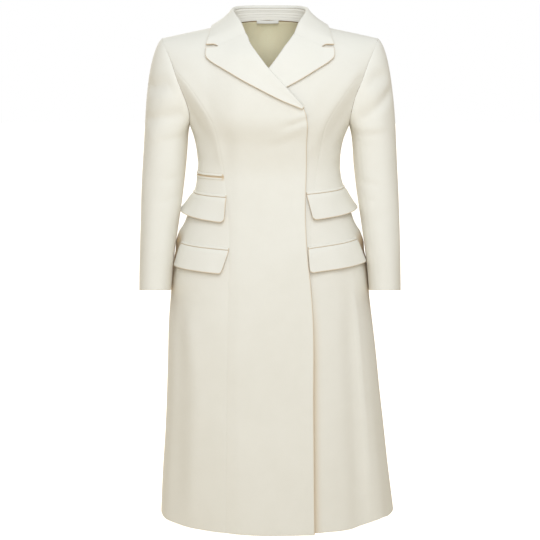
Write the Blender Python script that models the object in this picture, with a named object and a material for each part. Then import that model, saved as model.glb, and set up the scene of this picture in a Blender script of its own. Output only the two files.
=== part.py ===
"""A long tailored coat, filled out as it is when worn, with nobody in it.

It faces -Y with +Z up, and +X is on the wearer's left. The origin is midway between the two
side neck points, where the shoulders carry the coat. Sizes are in metres and angles in degrees.
"""

import math
from collections import namedtuple

import bpy
import numpy as np

# Driving sizes
HEM_HEIGHT = -1.079
UNDERARM_HEIGHT = -0.219
BREAK_HEIGHT = -0.172
PRINCESS_TOP_HEIGHT = -0.095
LINING_HEM_HEIGHT = -0.250
NECK_HALF = 0.080
SHOULDER_TIP_HALF = 0.232
SHOULDER_SLOPE = 0.2125
NAPE_DEPTH = 0.062
NAPE_RISE = 0.040

# Cloth and clearances
CLOTH = 0.002
FOLDED_CLOTH = 0.003
LINING_CLOTH = 0.001
TRIM_CLOTH = 0.0012
SEAM_GAP = 0.0004
LAYER_GAP = 0.0006
LINING_GAP = 0.0030
TRIM_GAP = 0.0012

# The right front crosses over the left one, and higher up over the left lapel as well
OVERLAP_RISE = 0.0030
LAPEL_UNDER_RISE = 0.0062
UNDERLAP_EDGE = -0.058
OVERLAP_RAMP = (-0.096, -0.064)
LAPEL_RAMP = (-0.135, -0.080)
LAPEL_RISE_HEIGHTS = (-0.255, -0.190)
OVERLAP_FADE_HEIGHTS = (-0.078, -0.026)

# Grid counts
SKIRT_ROWS = 9
WAIST_ROWS = 12
FRONT_COLUMNS = 9
SIDE_COLUMNS = 10
BACK_COLUMNS = 10
SLEEVE_ROWS = 7
CAP_ROWS = 6
FRONT_ARMHOLE_SHARES = np.array([0, 0.20, 0.39, 0.56, 0.71, 0.84, 0.945, 1.0])
BACK_ARMHOLE_ROWS = 9
POCKET_LEVEL = -0.54

BodySection = namedtuple("BodySection", "height right_half left_half front back squareness")
BODY = [
    BodySection(-1.079, 0.2450, 0.2790, 0.182, 0.168, 2.40),
    BodySection(-0.831, 0.2296, 0.2485, 0.158, 0.152, 2.50),
    BodySection(-0.605, 0.2185, 0.2207, 0.139, 0.138, 2.50),
    BodySection(-0.493, 0.2050, 0.2045, 0.128, 0.127, 2.45),
    BodySection(-0.4265, 0.1850, 0.1830, 0.118, 0.111, 2.40),
    BodySection(-0.3605, 0.1650, 0.1620, 0.110, 0.095, 2.35),
    BodySection(-0.306, 0.1572, 0.1525, 0.107, 0.088, 2.30),
    BodySection(-0.2513, 0.1630, 0.1590, 0.116, 0.093, 2.30),
    BodySection(-0.219, 0.1735, 0.1715, 0.123, 0.099, 2.35),
    BodySection(-0.164, 0.2020, 0.2010, 0.127, 0.105, 2.40),
    BodySection(-0.100, 0.2350, 0.2350, 0.127, 0.108, 2.40),
    BodySection(-0.030, 0.2620, 0.2620, 0.125, 0.108, 2.40),
    BodySection(0.060, 0.2650, 0.2650, 0.125, 0.108, 2.40),
]

# Soft flutes of the skirt, each fading out upwards: a ridge where the reach is above zero, else a trough
Flute = namedtuple("Flute", "angle top reach width")
FLUTES = [
    Flute(-66.0, -0.55, 0.004, 9.0),
    Flute(-38.0, -0.62, -0.005, 13.0),
    Flute(44.0, -0.50, -0.009, 9.0),
    Flute(56.0, -0.45, 0.006, 8.0),
    Flute(98.0, -0.55, -0.010, 10.0),
    Flute(124.0, -0.50, 0.014, 11.0),
    Flute(152.0, -0.55, -0.010, 11.0),
    Flute(-152.0, -0.60, -0.009, 12.0),
    Flute(-126.0, -0.52, 0.013, 10.0),
    Flute(-99.0, -0.58, -0.008, 10.0),
]

# How far the hem lies above or below the level hem, by the angle round the body
HemPoint = namedtuple("HemPoint", "angle rise")
HEM_LINE = [
    HemPoint(-180, 0.0),
    HemPoint(-115, 0.0),
    HemPoint(-85, 0.0040),
    HemPoint(-62, 0.0),
    HemPoint(-42, -0.0030),
    HemPoint(-20, -0.0040),
    HemPoint(0, -0.0040),
    HemPoint(22, -0.0030),
    HemPoint(45, 0.0005),
    HemPoint(53, 0.0075),
    HemPoint(60, 0.0095),
    HemPoint(67, 0.0060),
    HemPoint(75, 0.0065),
    HemPoint(90, 0.0070),
    HemPoint(115, 0.0),
    HemPoint(180, 0.0),
]
HEM_SETTLE_HEIGHT = -0.850
OVERLAP_HEM_DROP = 0.0025

# The seam from the armhole over the fullest part of the front, with its distance from the centre line
SeamPoint = namedtuple("SeamPoint", "height half")
PRINCESS_SEAM = [
    SeamPoint(-1.079, 0.0950),
    SeamPoint(-0.650, 0.0905),
    SeamPoint(-0.528, 0.0876),
    SeamPoint(-0.477, 0.0862),
    SeamPoint(-0.417, 0.0875),
    SeamPoint(-0.350, 0.0940),
    SeamPoint(-0.300, 0.1010),
    SeamPoint(-0.255, 0.1085),
    SeamPoint(-0.211, 0.1185),
    SeamPoint(-0.180, 0.1350),
    SeamPoint(-0.149, 0.1560),
    SeamPoint(-0.118, 0.1800),
    SeamPoint(-0.095, 0.2041),
]

# The right front's free edge, and the roll line above the break point
FRONT_EDGE = [
    SeamPoint(-1.079, 0.0955),
    SeamPoint(-0.805, 0.0925),
    SeamPoint(-0.609, 0.0905),
    SeamPoint(-0.552, 0.0862),
    SeamPoint(-0.479, 0.0785),
    SeamPoint(-0.418, 0.0750),
    SeamPoint(-0.268, 0.0760),
    SeamPoint(-0.187, 0.0735),
    SeamPoint(-0.172, 0.0685),
]
ROLL_LINE = [
    SeamPoint(-0.172, 0.0700),
    SeamPoint(-0.130, 0.0330),
    SeamPoint(-0.088, -0.0050),
    SeamPoint(-0.064, -0.0235),
    SeamPoint(-0.0415, -0.0390),
    SeamPoint(-0.0210, -0.0510),
    SeamPoint(-0.0090, -0.0640),
    SeamPoint(0.0, -0.0800),
]
ROLL_TO_CLOTH_EDGE = 0.0016

# The armhole from the shoulder tip down to the underarm
ArmholePoint = namedtuple("ArmholePoint", "height front_angle back_angle")
ARMHOLE = [
    ArmholePoint(-0.0323, 60.0, 120.0),
    ArmholePoint(-0.060, 57.5, 121.5),
    ArmholePoint(-0.095, 56.5, 121.5),
    ArmholePoint(-0.130, 58.0, 120.0),
    ArmholePoint(-0.165, 61.5, 117.0),
    ArmholePoint(-0.193, 67.0, 112.5),
    ArmholePoint(-0.2105, 76.0, 104.0),
    ArmholePoint(-0.219, 90.0, 90.0),
]
PRINCESS_SHARE = 2 / 7

# Sleeve rings below the cap
SleeveRing = namedtuple("SleeveRing", "height outer inner centre_y half_depth tilt")
SLEEVE = [
    SleeveRing(-0.262, 0.2738, 0.1790, -0.002, 0.0640, 0.02),
    SleeveRing(-0.294, 0.2755, 0.1812, -0.006, 0.0625, 0.04),
    SleeveRing(-0.359, 0.2786, 0.1882, -0.014, 0.0600, 0.08),
    SleeveRing(-0.425, 0.2805, 0.1978, -0.025, 0.0575, 0.11),
    SleeveRing(-0.491, 0.2822, 0.2072, -0.038, 0.0550, 0.14),
    SleeveRing(-0.550, 0.2833, 0.2132, -0.048, 0.0530, 0.16),
    SleeveRing(-0.573, 0.2835, 0.2150, -0.052, 0.0525, 0.17),
]
SLEEVE_SQUARENESS = 2.2
UNDER_SLEEVE_FRONT_COLUMNS = 3
UNDER_SLEEVE_BACK_COLUMNS = 3
CAP_TANGENT_TIP = (0.090, 0.0, -0.080)
CAP_TANGENT_UNDERARM = (0.012, 0.0, -0.040)
CAP_SIDE_OUT = 0.016
CAP_SIDE_SWELL = 0.024

# Lapel outline on the front view, from the break point along the lower edge to the point and the notch
EdgePoint = namedtuple("EdgePoint", "share half height")
LAPEL_EDGE = [
    EdgePoint(0.00, 0.0650, -0.1762),
    EdgePoint(0.22, 0.0141, -0.1552),
    EdgePoint(0.36, -0.0180, -0.1395),
    EdgePoint(0.55, -0.0609, -0.1180),
    EdgePoint(0.71, -0.0972, -0.0968),
    EdgePoint(0.84, -0.1262, -0.0790),
    EdgePoint(0.90, -0.1338, -0.0715),
    EdgePoint(1.00, -0.1345, -0.0525),
]
GORGE_ROLL = (-0.0500, -0.0230)
NOTCH_INNER = (-0.1105, -0.0505)
NOTCH_INNER_SHARE = 0.72
NOTCH_OPENING = 0.0055
LAPEL_GAP = 0.0007
LAPEL_EDGE_LIFT = 0.0010
LAPEL_ROLL_LIFT = 0.0010

# Collar stations of one side, from near the gorge to the nape: the roll, the fall's free edge, the neck seam
CollarStation = namedtuple("CollarStation", "roll_x roll_y roll_z edge_x edge_y seam_x seam_y seam_z")
COLLAR = [
    CollarStation(0.0640, -0.044, 0.0040, 0.1315, -0.050, 0.0660, -0.034, -0.0060),
    CollarStation(0.0805, -0.003, 0.0278, 0.1205, 0.004, 0.0735, 0.001, -0.0015),
    CollarStation(0.0725, 0.032, 0.0352, 0.1035, 0.042, 0.0612, 0.031, 0.0004),
    CollarStation(0.0425, 0.0558, 0.0369, 0.0585, 0.066, 0.0345, 0.0500, 0.0026),
    CollarStation(0.0, 0.062, 0.0370, 0.0, 0.0770, 0.0, 0.0557, 0.0042),
]
COLLAR_LIFT = 0.0060
COLLAR_ROUND = -0.0022
GORGE_SEAM_RISE = 0.0004
STAND_SET_IN = 0.0042

# Pocket flaps and welts lie on the side fronts
Flap = namedtuple(
    "Flap", "name side top rise inner_drop outer_drop inner_half inner_lean outer_angle flare_inner flare_outer"
)
FLAPS = [
    Flap("upper_right", -1, -0.3660, 0.0020, 0.0535, 0.0450, 0.0920, 0.0040, 88.0, 0.0035, 0.0138),
    Flap("lower_right", -1, -0.4765, 0.0050, 0.0500, 0.0490, 0.0866, 0.0145, 72.0, 0.0035, 0.0030),
    Flap("upper_left", 1, -0.3595, 0.0060, 0.0545, 0.0500, 0.0766, 0.0125, 88.0, 0.0035, 0.0122),
    Flap("lower_left", 1, -0.4740, 0.0115, 0.0505, 0.0500, 0.0800, 0.0034, 72.0, 0.0035, 0.0030),
]
FLAP_CORNER = 0.009
FLAP_OUTER_CORNER = 0.004
FLAP_FLARE_SHAPE = 0.85
POCKET_RISE_SHAPE = 0.6
POCKET_SHARES = np.array([0, 0.025, 0.08, 0.22, 0.4, 0.6, 0.78, 0.92, 0.975, 1.0])
WELT_HEIGHT = 0.0055
TICKET_TOP = -0.3165
TICKET_OUTER_ANGLE = 84.0
TICKET_SLIT = 0.0016
HANGER_LOOP_HALF = 0.026
HANGER_LOOP_CENTRE = -0.0055
HANGER_LOOP_TOP = 0.0110
HANGER_LOOP_WIDTH = 0.0055
LOOP_GAP = 0.0016

IVORY = (0.86, 0.84, 0.755, 1.0)
TAN = (0.62, 0.55, 0.38, 1.0)
CLOTH_ROUGHNESS = 0.85
LINING_ROUGHNESS = 0.55


def smooth(knots, values, at):
    """A smooth curve through a table's column, read at the given places."""
    knots, values = np.asarray(knots, float), np.asarray(values, float)
    at = np.clip(np.asarray(at, float), knots[0], knots[-1])
    slopes = np.gradient(values, knots)
    low = np.clip(np.searchsorted(knots, at, side="right") - 1, 0, len(knots) - 2)
    span = knots[low + 1] - knots[low]
    t = (at - knots[low]) / span
    return (
        (2 * t**3 - 3 * t**2 + 1) * values[low]
        + (t**3 - 2 * t**2 + t) * span * slopes[low]
        + (3 * t**2 - 2 * t**3) * values[low + 1]
        + (t**3 - t**2) * span * slopes[low + 1]
    )


def column(table, name):
    return np.array([getattr(row, name) for row in table], float)


def read(table, name, height):
    """A column of a table that is ordered by height, at any height."""
    knots = column(table, "height")
    values = column(table, name)
    order = np.argsort(knots)
    return smooth(knots[order], values[order], height)


def step(low, high, at):
    """Zero below low, one above high and smooth between them."""
    t = np.clip((np.asarray(at, float) - low) / (high - low), 0, 1)
    return t * t * (3 - 2 * t)


def mix(a, b, share):
    return np.asarray(a, float) * (1 - share) + np.asarray(b, float) * share


# The body's outer surface, by the angle round it and the height


def ridge_height(x, behind):
    """The top of the shoulders over a place across the body. It rises to the nape behind the neck."""
    slope = SHOULDER_SLOPE * (NECK_HALF - np.abs(x))
    return slope + NAPE_RISE * np.clip(1 - (x / NECK_HALF) ** 2, 0, 1) * behind


def flutes(angle, height):
    total = np.zeros_like(height)
    for flute in FLUTES:
        away = (angle - flute.angle + 180) % 360 - 180
        share = np.clip((flute.top - height) / (flute.top - HEM_HEIGHT), 0, 1)
        total += flute.reach * share**1.4 * np.exp(-((away / flute.width) ** 2))
    return total


def body_skin(angle, height):
    """Points of the body's surface. Angle 0 is the front, 90 the left side seam, 180 the centre back."""
    angle, height = np.broadcast_arrays(np.asarray(angle, float), np.asarray(height, float))
    sine, cosine = np.sin(np.radians(angle)), np.cos(np.radians(angle))
    half = np.where(sine < 0, read(BODY, "right_half", height), read(BODY, "left_half", height))
    depth = np.where(cosine > 0, read(BODY, "front", height), read(BODY, "back", height))
    power = 2 / read(BODY, "squareness", height)
    swell = flutes(angle, height)
    x = np.sign(sine) * half * np.abs(sine) ** power + swell * sine
    y = -np.sign(cosine) * depth * np.abs(cosine) ** power - swell * cosine
    rise = (height - UNDERARM_HEIGHT) / (ridge_height(x, cosine < 0) - UNDERARM_HEIGHT)
    y = y * np.sqrt(1 - np.clip(rise, 0, 1) ** 2)
    return np.stack([x, y, height], -1)


def unit(vectors):
    return vectors / np.linalg.norm(vectors, axis=-1, keepdims=True)


def body_normal(angle, height):
    turn, lift = 0.5, 0.001
    across = body_skin(angle + turn, height) - body_skin(angle - turn, height)
    up = body_skin(angle, height + lift) - body_skin(angle, height - lift)
    return unit(np.cross(across, up))


def hem_shift(angle, height):
    """How far the hem's own line moves a place on the body up or down."""
    share = np.clip((HEM_SETTLE_HEIGHT - height) / (HEM_SETTLE_HEIGHT - HEM_HEIGHT), 0, 1)
    return smooth(column(HEM_LINE, "angle"), column(HEM_LINE, "rise"), angle) * share**2


def front_angle(x, height):
    """The angle of a point of the front surface from its place across the body."""
    x, height = np.broadcast_arrays(np.asarray(x, float), np.asarray(height, float))
    half = np.where(x < 0, read(BODY, "right_half", height), read(BODY, "left_half", height))
    share = np.clip(np.abs(x) / half, 0, 1) ** (read(BODY, "squareness", height) / 2)
    return np.sign(x) * np.degrees(np.arcsin(share))


def overlap_rise(x, height):
    """How far the right front stands off the body where it crosses the left front and the left lapel."""
    cloth = OVERLAP_RISE * step(*OVERLAP_RAMP, x)
    lapel = LAPEL_UNDER_RISE * step(*LAPEL_RAMP, x) * step(*LAPEL_RISE_HEIGHTS, height)
    return (cloth + lapel) * (1 - step(*OVERLAP_FADE_HEIGHTS, height))


# Walls of cloth, made from a grid of outer points and a grid of inner points


def material(name, colour, roughness):
    made = bpy.data.materials.new(name)
    made.use_nodes = True
    shader = made.node_tree.nodes["Principled BSDF"]
    shader.inputs["Base Color"].default_value = colour
    shader.inputs["Roughness"].default_value = roughness
    shader.inputs["Metallic"].default_value = 0.0
    return made


def drawn_in(grid, edges):
    """The grid with the named edges drawn in by half a seam gap, so that neighbours don't touch."""
    grid = grid.copy()
    for edge in edges:
        rim, inside = {
            "first_row": (grid[0], grid[1]),
            "last_row": (grid[-1], grid[-2]),
            "first_column": (grid[:, 0], grid[:, 1]),
            "last_column": (grid[:, -1], grid[:, -2]),
        }[edge]
        rim += unit(inside - rim) * SEAM_GAP / 2
    return grid


def wall(name, outer, inner, cloth, edges=()):
    """One closed solid between two grids of points, as an object of its own."""
    outer, inner = drawn_in(outer, edges), drawn_in(inner, edges)
    rows, columns = outer.shape[:2]
    count = rows * columns
    points = np.concatenate([outer.reshape(-1, 3), inner.reshape(-1, 3)])
    number = np.arange(count).reshape(rows, columns)
    faces = []
    for i in range(rows - 1):
        for j in range(columns - 1):
            quad = [number[i, j], number[i, j + 1], number[i + 1, j + 1], number[i + 1, j]]
            faces.append(quad)
            faces.append([k + count for k in reversed(quad)])
    rim = [*number[0], *number[1:, -1], *number[-1, -2::-1], *number[-2:0:-1, 0]]
    for a, b in zip(rim, rim[1:] + rim[:1]):
        faces.append([b, a, a + count, b + count])
    mesh = bpy.data.meshes.new(name)
    mesh.from_pydata(points.tolist(), [], [[int(k) for k in face] for face in faces])
    mesh.update()
    if signed_volume(outer, inner) < 0:
        mesh.flip_normals()
    mesh.shade_smooth()
    mesh.set_sharp_from_angle(angle=math.radians(50))
    mesh.materials.append(cloth)
    made = bpy.data.objects.new(name, mesh)
    bpy.context.scene.collection.objects.link(made)
    made.parent = bpy.data.objects["coat"]
    return made


def signed_volume(outer, inner):
    """Above zero where the grid's own turn faces away from the inner points."""
    across = outer[:-1, 1:] - outer[:-1, :-1]
    along = outer[1:, :-1] - outer[:-1, :-1]
    return float((np.cross(across, along) * (outer - inner)[:-1, :-1]).sum())


def skin_wall(name, angle, height, offset, thickness, cloth, edges=(), ridge=None):
    """A wall that follows the body's surface. A row on the shoulder ridge is mitred to its neighbour."""
    points, normals = body_skin(angle, height), body_normal(angle, height)
    if ridge is not None:
        normals[-1, ridge, 1] = 0
        normals = unit(normals)
    offset = np.broadcast_to(np.asarray(offset, float), angle.shape)[..., None]
    return wall(name, points + normals * offset, points + normals * (offset - thickness), cloth, edges)


# Body panels


def princess_half(height):
    return read(PRINCESS_SEAM, "half", height)


def armhole(share, behind=False):
    """(angle, height) on the left armhole: share 0 is the shoulder tip, share 1 the underarm."""
    knots = np.linspace(0, 1, len(ARMHOLE))
    angles = column(ARMHOLE, "back_angle" if behind else "front_angle")
    return smooth(knots, angles, share), smooth(knots, column(ARMHOLE, "height"), share)


def quarter_wave(count):
    """Shares from 0 to 1 that crowd towards 1, where the surface turns over the shoulder."""
    return np.sin(np.linspace(0, math.pi / 2, count + 1))


def heights_up_to(*top_heights):
    """Row heights from the hem: wide apart in the skirt, closer over the pockets and waist."""
    skirt = np.linspace(HEM_HEIGHT, POCKET_LEVEL, SKIRT_ROWS, endpoint=False)
    waist = np.linspace(POCKET_LEVEL, top_heights[0], WAIST_ROWS, endpoint=False)
    return np.concatenate([skirt, waist, top_heights])


def princess_heights():
    return heights_up_to(-0.250, -0.215, -0.180, -0.150, -0.120, PRINCESS_TOP_HEIGHT)


def inner_edge(side, height):
    """The free edge of a front below the break point, as a place across the body."""
    if side < 0:
        return read(FRONT_EDGE, "half", height)
    return mix(-UNDERLAP_EDGE, read(FRONT_EDGE, "half", height), step(-0.20, BREAK_HEIGHT, height)) * -1


def roll_half(height):
    return read(ROLL_LINE, "half", height)


def front(side, cloth):
    """A front from its free edge and roll line to the princess seam, armhole and shoulder seam."""
    outer_height = princess_heights()
    lower = heights_up_to(-0.250, -0.232, -0.215, -0.200, -0.186, BREAK_HEIGHT)
    outer_angle = front_angle(side * princess_half(outer_height), outer_height)
    inner_angle = front_angle(inner_edge(side, lower), lower)
    share = FRONT_ARMHOLE_SHARES[1:]
    arm_angle, arm_height = armhole(PRINCESS_SHARE * (1 - share))
    roll_height = BREAK_HEIGHT * (1 - share)
    roll_x = -side * (roll_half(roll_height) - ROLL_TO_CLOTH_EDGE * (1 - share))
    outer_angle = np.concatenate([outer_angle, side * arm_angle])[:, None]
    outer_height = np.concatenate([outer_height, arm_height])[:, None]
    inner_angle = np.concatenate([inner_angle, front_angle(roll_x, roll_height)])[:, None]
    inner_height = np.concatenate([lower, roll_height])[:, None]
    across = np.linspace(0, 1, FRONT_COLUMNS + 1)[None, :]
    angle, height = mix(outer_angle, inner_angle, across), mix(outer_height, inner_height, across)
    ridge = ridge_height(body_skin(angle[-1], height[-1])[:, 0], False)
    height[-1] = ridge
    height = height + hem_shift(angle, height)
    if side < 0:
        height[0] -= OVERLAP_HEM_DROP * step(0, 0.6, across[0])
    offset = overlap_rise(body_skin(angle, height)[..., 0], height) if side < 0 else 0.0
    name = "front_left" if side > 0 else "front_right"
    return skin_wall(name, angle, height, offset, CLOTH, cloth, ("first_column", "last_row"), slice(None))


def side_front(side, cloth):
    """The panel between the princess seam and the side seam, under the armhole."""
    seam_height = princess_heights()
    side_height = heights_up_to(-0.272, -0.262, -0.252, -0.242, -0.231, UNDERARM_HEIGHT)
    across = np.linspace(0, 1, SIDE_COLUMNS + 1)
    seam_angle = np.abs(front_angle(side * princess_half(seam_height), seam_height))
    angle = mix(seam_angle[:, None], 90.0, across[None, :])
    height = mix(seam_height[:, None], side_height[:, None], across[None, :])
    top_angle, top_height = armhole(mix(PRINCESS_SHARE, 1.0, across))
    settle = np.clip(np.arange(len(seam_height)) - (len(seam_height) - 7), 0, 6)[:, None] / 6
    angle = angle + settle * (top_angle - angle[-1])
    height = height + settle * (top_height - height[-1])
    height = height + hem_shift(side * angle, height)
    name = "side_front_left" if side > 0 else "side_front_right"
    edges = ("first_column", "last_column", "last_row")
    return skin_wall(name, side * angle, height, 0.0, CLOTH, cloth, edges)


def back_neckline(turn):
    """(angle, height) of the back neck seam: turn 0 is the side neck point, turn 90 the nape."""
    x = NECK_HALF * np.cos(np.radians(turn))
    y = NAPE_DEPTH * np.sin(np.radians(turn))
    angle = 180 - front_angle(x, np.zeros_like(x))
    power = 2 / read(BODY, "squareness", 0.0)
    reach = read(BODY, "back", 0.0) * np.abs(np.cos(np.radians(angle))) ** power
    top = ridge_height(x, True)
    return angle, UNDERARM_HEIGHT + (top - UNDERARM_HEIGHT) * np.sqrt(1 - (y / reach) ** 2)


def back(side, cloth):
    """Half the back, from the side seam and armhole to the centre back seam."""
    side_height = heights_up_to(-0.272, -0.245, UNDERARM_HEIGHT)
    centre_height = heights_up_to(-0.272, -0.238, -0.205)
    share = quarter_wave(BACK_ARMHOLE_ROWS)[1:]
    arm_angle, arm_height = armhole(1 - share, behind=True)
    nape = float(back_neckline(np.array([90.0]))[1][0])
    outer_angle = np.concatenate([np.full_like(side_height, 90.0), arm_angle])[:, None]
    outer_height = np.concatenate([side_height, arm_height])[:, None]
    inner_height = np.concatenate([centre_height, mix(centre_height[-1], nape, share)])[:, None]
    across = np.linspace(0, 1, BACK_COLUMNS + 1)
    angle = mix(outer_angle, 180.0, across[None, :])
    height = mix(outer_height, inner_height, across[None, :])
    on_shoulder = round(BACK_COLUMNS * 0.7)
    shoulder_x = np.linspace(SHOULDER_TIP_HALF, NECK_HALF, on_shoulder + 1)
    shoulder_height = ridge_height(shoulder_x, True)
    shoulder_angle = 180 - front_angle(shoulder_x, shoulder_height)
    neck_angle, neck_height = back_neckline(np.linspace(0, 90, BACK_COLUMNS - on_shoulder + 1)[1:])
    top_angle = np.concatenate([shoulder_angle, neck_angle])
    top_height = np.concatenate([shoulder_height, neck_height])
    settle = np.concatenate([np.zeros(len(side_height)), share**3])[:, None]
    angle = angle + settle * (top_angle - angle[-1])
    height = height + settle * (top_height - height[-1])
    height = height + hem_shift(side * angle, height)
    name = "back_left" if side > 0 else "back_right"
    edges = ("first_column", "last_column", "last_row")
    return skin_wall(name, side * angle, height, 0.0, CLOTH, cloth, edges, slice(0, on_shoulder + 1))


def lining(cloth):
    """The part lining across the inside of the upper back, which shows in the neck."""
    turn = np.linspace(-1, 1, 13)
    neck_angle, neck_height = back_neckline(90 - 78 * np.abs(turn))
    neck_angle = np.where(turn < 0, neck_angle, 360 - neck_angle)
    hem_angle = 180 + 62 * turn
    share = quarter_wave(8)[:, None]
    angle = mix(hem_angle[None, :], neck_angle[None, :], share)
    height = mix(LINING_HEM_HEIGHT, neck_height[None, :] - 0.001, share)
    return skin_wall("back_lining", angle, height, -CLOTH - LINING_GAP, LINING_CLOTH, cloth)


def hanger_loop(cloth):
    """A short strip at the nape that the coat is hung up by."""
    x = np.linspace(-HANGER_LOOP_HALF, HANGER_LOOP_HALF, 9) + HANGER_LOOP_CENTRE
    height = HANGER_LOOP_TOP - HANGER_LOOP_WIDTH * np.linspace(1, 0, 2)[:, None] + 0 * x
    angle = np.broadcast_to(180 - front_angle(x, 0 * x), height.shape)
    sag = 0.0022 * (1 - ((x - HANGER_LOOP_CENTRE) / HANGER_LOOP_HALF) ** 2)
    offset = -CLOTH - LINING_GAP - LINING_CLOTH - LOOP_GAP - np.broadcast_to(sag, height.shape)
    return skin_wall("hanger_loop", angle, height, offset, TRIM_CLOTH, cloth)


# Sleeves


def armhole_shares(behind=False):
    """The places down the armhole where the body's grids and the sleeve's grid meet."""
    if behind:
        return 1 - quarter_wave(BACK_ARMHOLE_ROWS)[::-1]
    upper = PRINCESS_SHARE * (1 - FRONT_ARMHOLE_SHARES[::-1])
    return np.concatenate([upper, np.linspace(PRINCESS_SHARE, 1, SIDE_COLUMNS + 1)[1:]])


def turn_of(share):
    """The turn round the armhole of a share of the way down it."""
    return np.degrees(np.arccos(1 - 2 * share))


def armhole_place(side, turn):
    """(angle, height) round the armhole: turn 0 is the shoulder tip, 90 the front, 180 the underarm."""
    turn = turn % 360
    share = (1 - np.cos(np.radians(turn))) / 2
    front_a, height = armhole(share)
    back_a, _ = armhole(share, behind=True)
    return side * np.where(turn <= 180, front_a, back_a), height


def armhole_loop(side, turn):
    """(points, body normals, directions out of the armhole's edge) round the armhole."""
    angle, height = armhole_place(side, turn)
    points, normals = body_skin(angle, height), body_normal(angle, height)
    at_tip = (np.cos(np.radians(turn)) > 0.9999)[:, None]
    normals = unit(np.where(at_tip, normals * (1, 0, 1), normals))
    around = body_skin(*armhole_place(side, turn + 1)) - body_skin(*armhole_place(side, turn - 1))
    return points, normals, unit(side * np.cross(normals, around))


def sleeve_ring(side, turn, height):
    """Points of one sleeve ring: turn 0 faces away from the body, 90 faces front, 180 faces the body."""
    outer, inner = read(SLEEVE, "outer", height), read(SLEEVE, "inner", height)
    power = 2 / SLEEVE_SQUARENESS
    cosine, sine = np.cos(np.radians(turn)), np.sin(np.radians(turn))
    across = (outer + inner) / 2 + (outer - inner) / 2 * np.sign(cosine) * np.abs(cosine) ** power
    forward = -read(SLEEVE, "half_depth", height) * np.sign(sine) * np.abs(sine) ** power
    z = height - read(SLEEVE, "tilt", height) * forward
    return np.stack([side * across, read(SLEEVE, "centre_y", height) + forward, z + 0 * across], -1)


def sleeve_cap(side, turn, share):
    """Points between the armhole (share 0) and the first ring (share 1)."""
    points, normals, out = armhole_loop(side, turn)
    start = points + unit(normals + out) * SEAM_GAP * 1.5
    first = SLEEVE[0].height
    end = sleeve_ring(side, turn, first)
    near_tip = (1 + np.cos(np.radians(turn)))[:, None] / 2
    sine = np.sin(np.radians(turn))[:, None]
    tangent = mix(CAP_TANGENT_UNDERARM, CAP_TANGENT_TIP, near_tip)
    tangent = tangent + sine**2 * (CAP_SIDE_OUT, 0, 0) - sine * (0, CAP_SIDE_SWELL, 0)
    tangent = tangent * (side, 1, 1)
    ahead = sleeve_ring(side, turn, first - 0.01) - end
    leave = unit(ahead) * np.linalg.norm(end - start, axis=-1, keepdims=True)
    t = share
    return (
        (2 * t**3 - 3 * t**2 + 1) * start
        + (t**3 - 2 * t**2 + t) * tangent
        + (3 * t**2 - 2 * t**3) * end
        + (t**3 - t**2) * leave
    )


def sleeve_points(side, turn):
    """A stretch of the sleeve's outer surface, row by row from the armhole to the cuff."""
    heights = np.linspace(SLEEVE[0].height, SLEEVE[-1].height, SLEEVE_ROWS + 1)
    shares = np.linspace(0, 1, CAP_ROWS + 1) ** 1.25
    rows = [sleeve_cap(side, turn, share) for share in shares]
    rows += [sleeve_ring(side, turn, height) for height in heights[1:]]
    return np.array(rows)


def sleeve_grid(side, turn):
    """Outer points and outward normals of a stretch of the sleeve."""
    grid = sleeve_points(side, turn)
    across = sleeve_points(side, turn + 3) - sleeve_points(side, turn - 3)
    return grid, side * unit(np.cross(across, np.gradient(grid, axis=0)))


def sleeve(side, under, cloth):
    """The upper or the under sleeve."""
    front_turn, back_turn = turn_of(armhole_shares()), 360 - turn_of(armhole_shares(behind=True))
    in_front = len(front_turn) - UNDER_SLEEVE_FRONT_COLUMNS
    behind = len(back_turn) - UNDER_SLEEVE_BACK_COLUMNS
    if under:
        turn = np.concatenate([front_turn[in_front:], back_turn[behind:-1][::-1]])
    else:
        turn = np.concatenate([back_turn[1 : behind + 1][::-1] - 360, front_turn[: in_front + 1]])
    outer, normals = sleeve_grid(side, turn)
    inward = -normals * CLOTH
    _, _, out = armhole_loop(side, turn)
    inward[0] -= np.minimum((inward[0] * out).sum(-1, keepdims=True), 0) * out
    kind = "under_sleeve" if under else "upper_sleeve"
    name = kind + ("_left" if side > 0 else "_right")
    return wall(name, outer, outer + inward, cloth, ("first_column", "last_column"))


# Lapels and collar


def lapel_stack(side, x, height):
    """How far a lapel's outer face stands off the body's surface."""
    under = overlap_rise(x, height) if side < 0 else 0.0
    return under + LAPEL_GAP + FOLDED_CLOTH


def lapel_outline(share):
    """(half, height) on the lapel's free edge and its roll line: share 0 is the break point, 1 the gorge."""
    knots = column(LAPEL_EDGE, "share")
    edge = np.stack([smooth(knots, column(LAPEL_EDGE, name), share) for name in ("half", "height")], -1)
    roll_height = mix(BREAK_HEIGHT, GORGE_ROLL[1], share)
    roll = np.stack([roll_half(roll_height), roll_height], -1)
    return edge, roll


def gorge_line(across):
    """(half, height) along the gorge seam and the notch, from the roll line to the free edge."""
    knots = [0.0, NOTCH_INNER_SHARE, 1.0]
    last = LAPEL_EDGE[-1]
    half = np.interp(across, knots, [GORGE_ROLL[0], NOTCH_INNER[0], last.half])
    return np.stack([half, np.interp(across, knots, [GORGE_ROLL[1], NOTCH_INNER[1], last.height])], -1)


def on_front(side, flat, extra):
    """Points and normals over the front surface, from halves and heights drawn for the right side."""
    x, height = -side * flat[..., 0], flat[..., 1]
    angle = front_angle(x, height)
    normals = body_normal(angle, height)
    reach = lapel_stack(side, x, height) + extra
    return body_skin(angle, height) + normals * reach[..., None], normals


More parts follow.
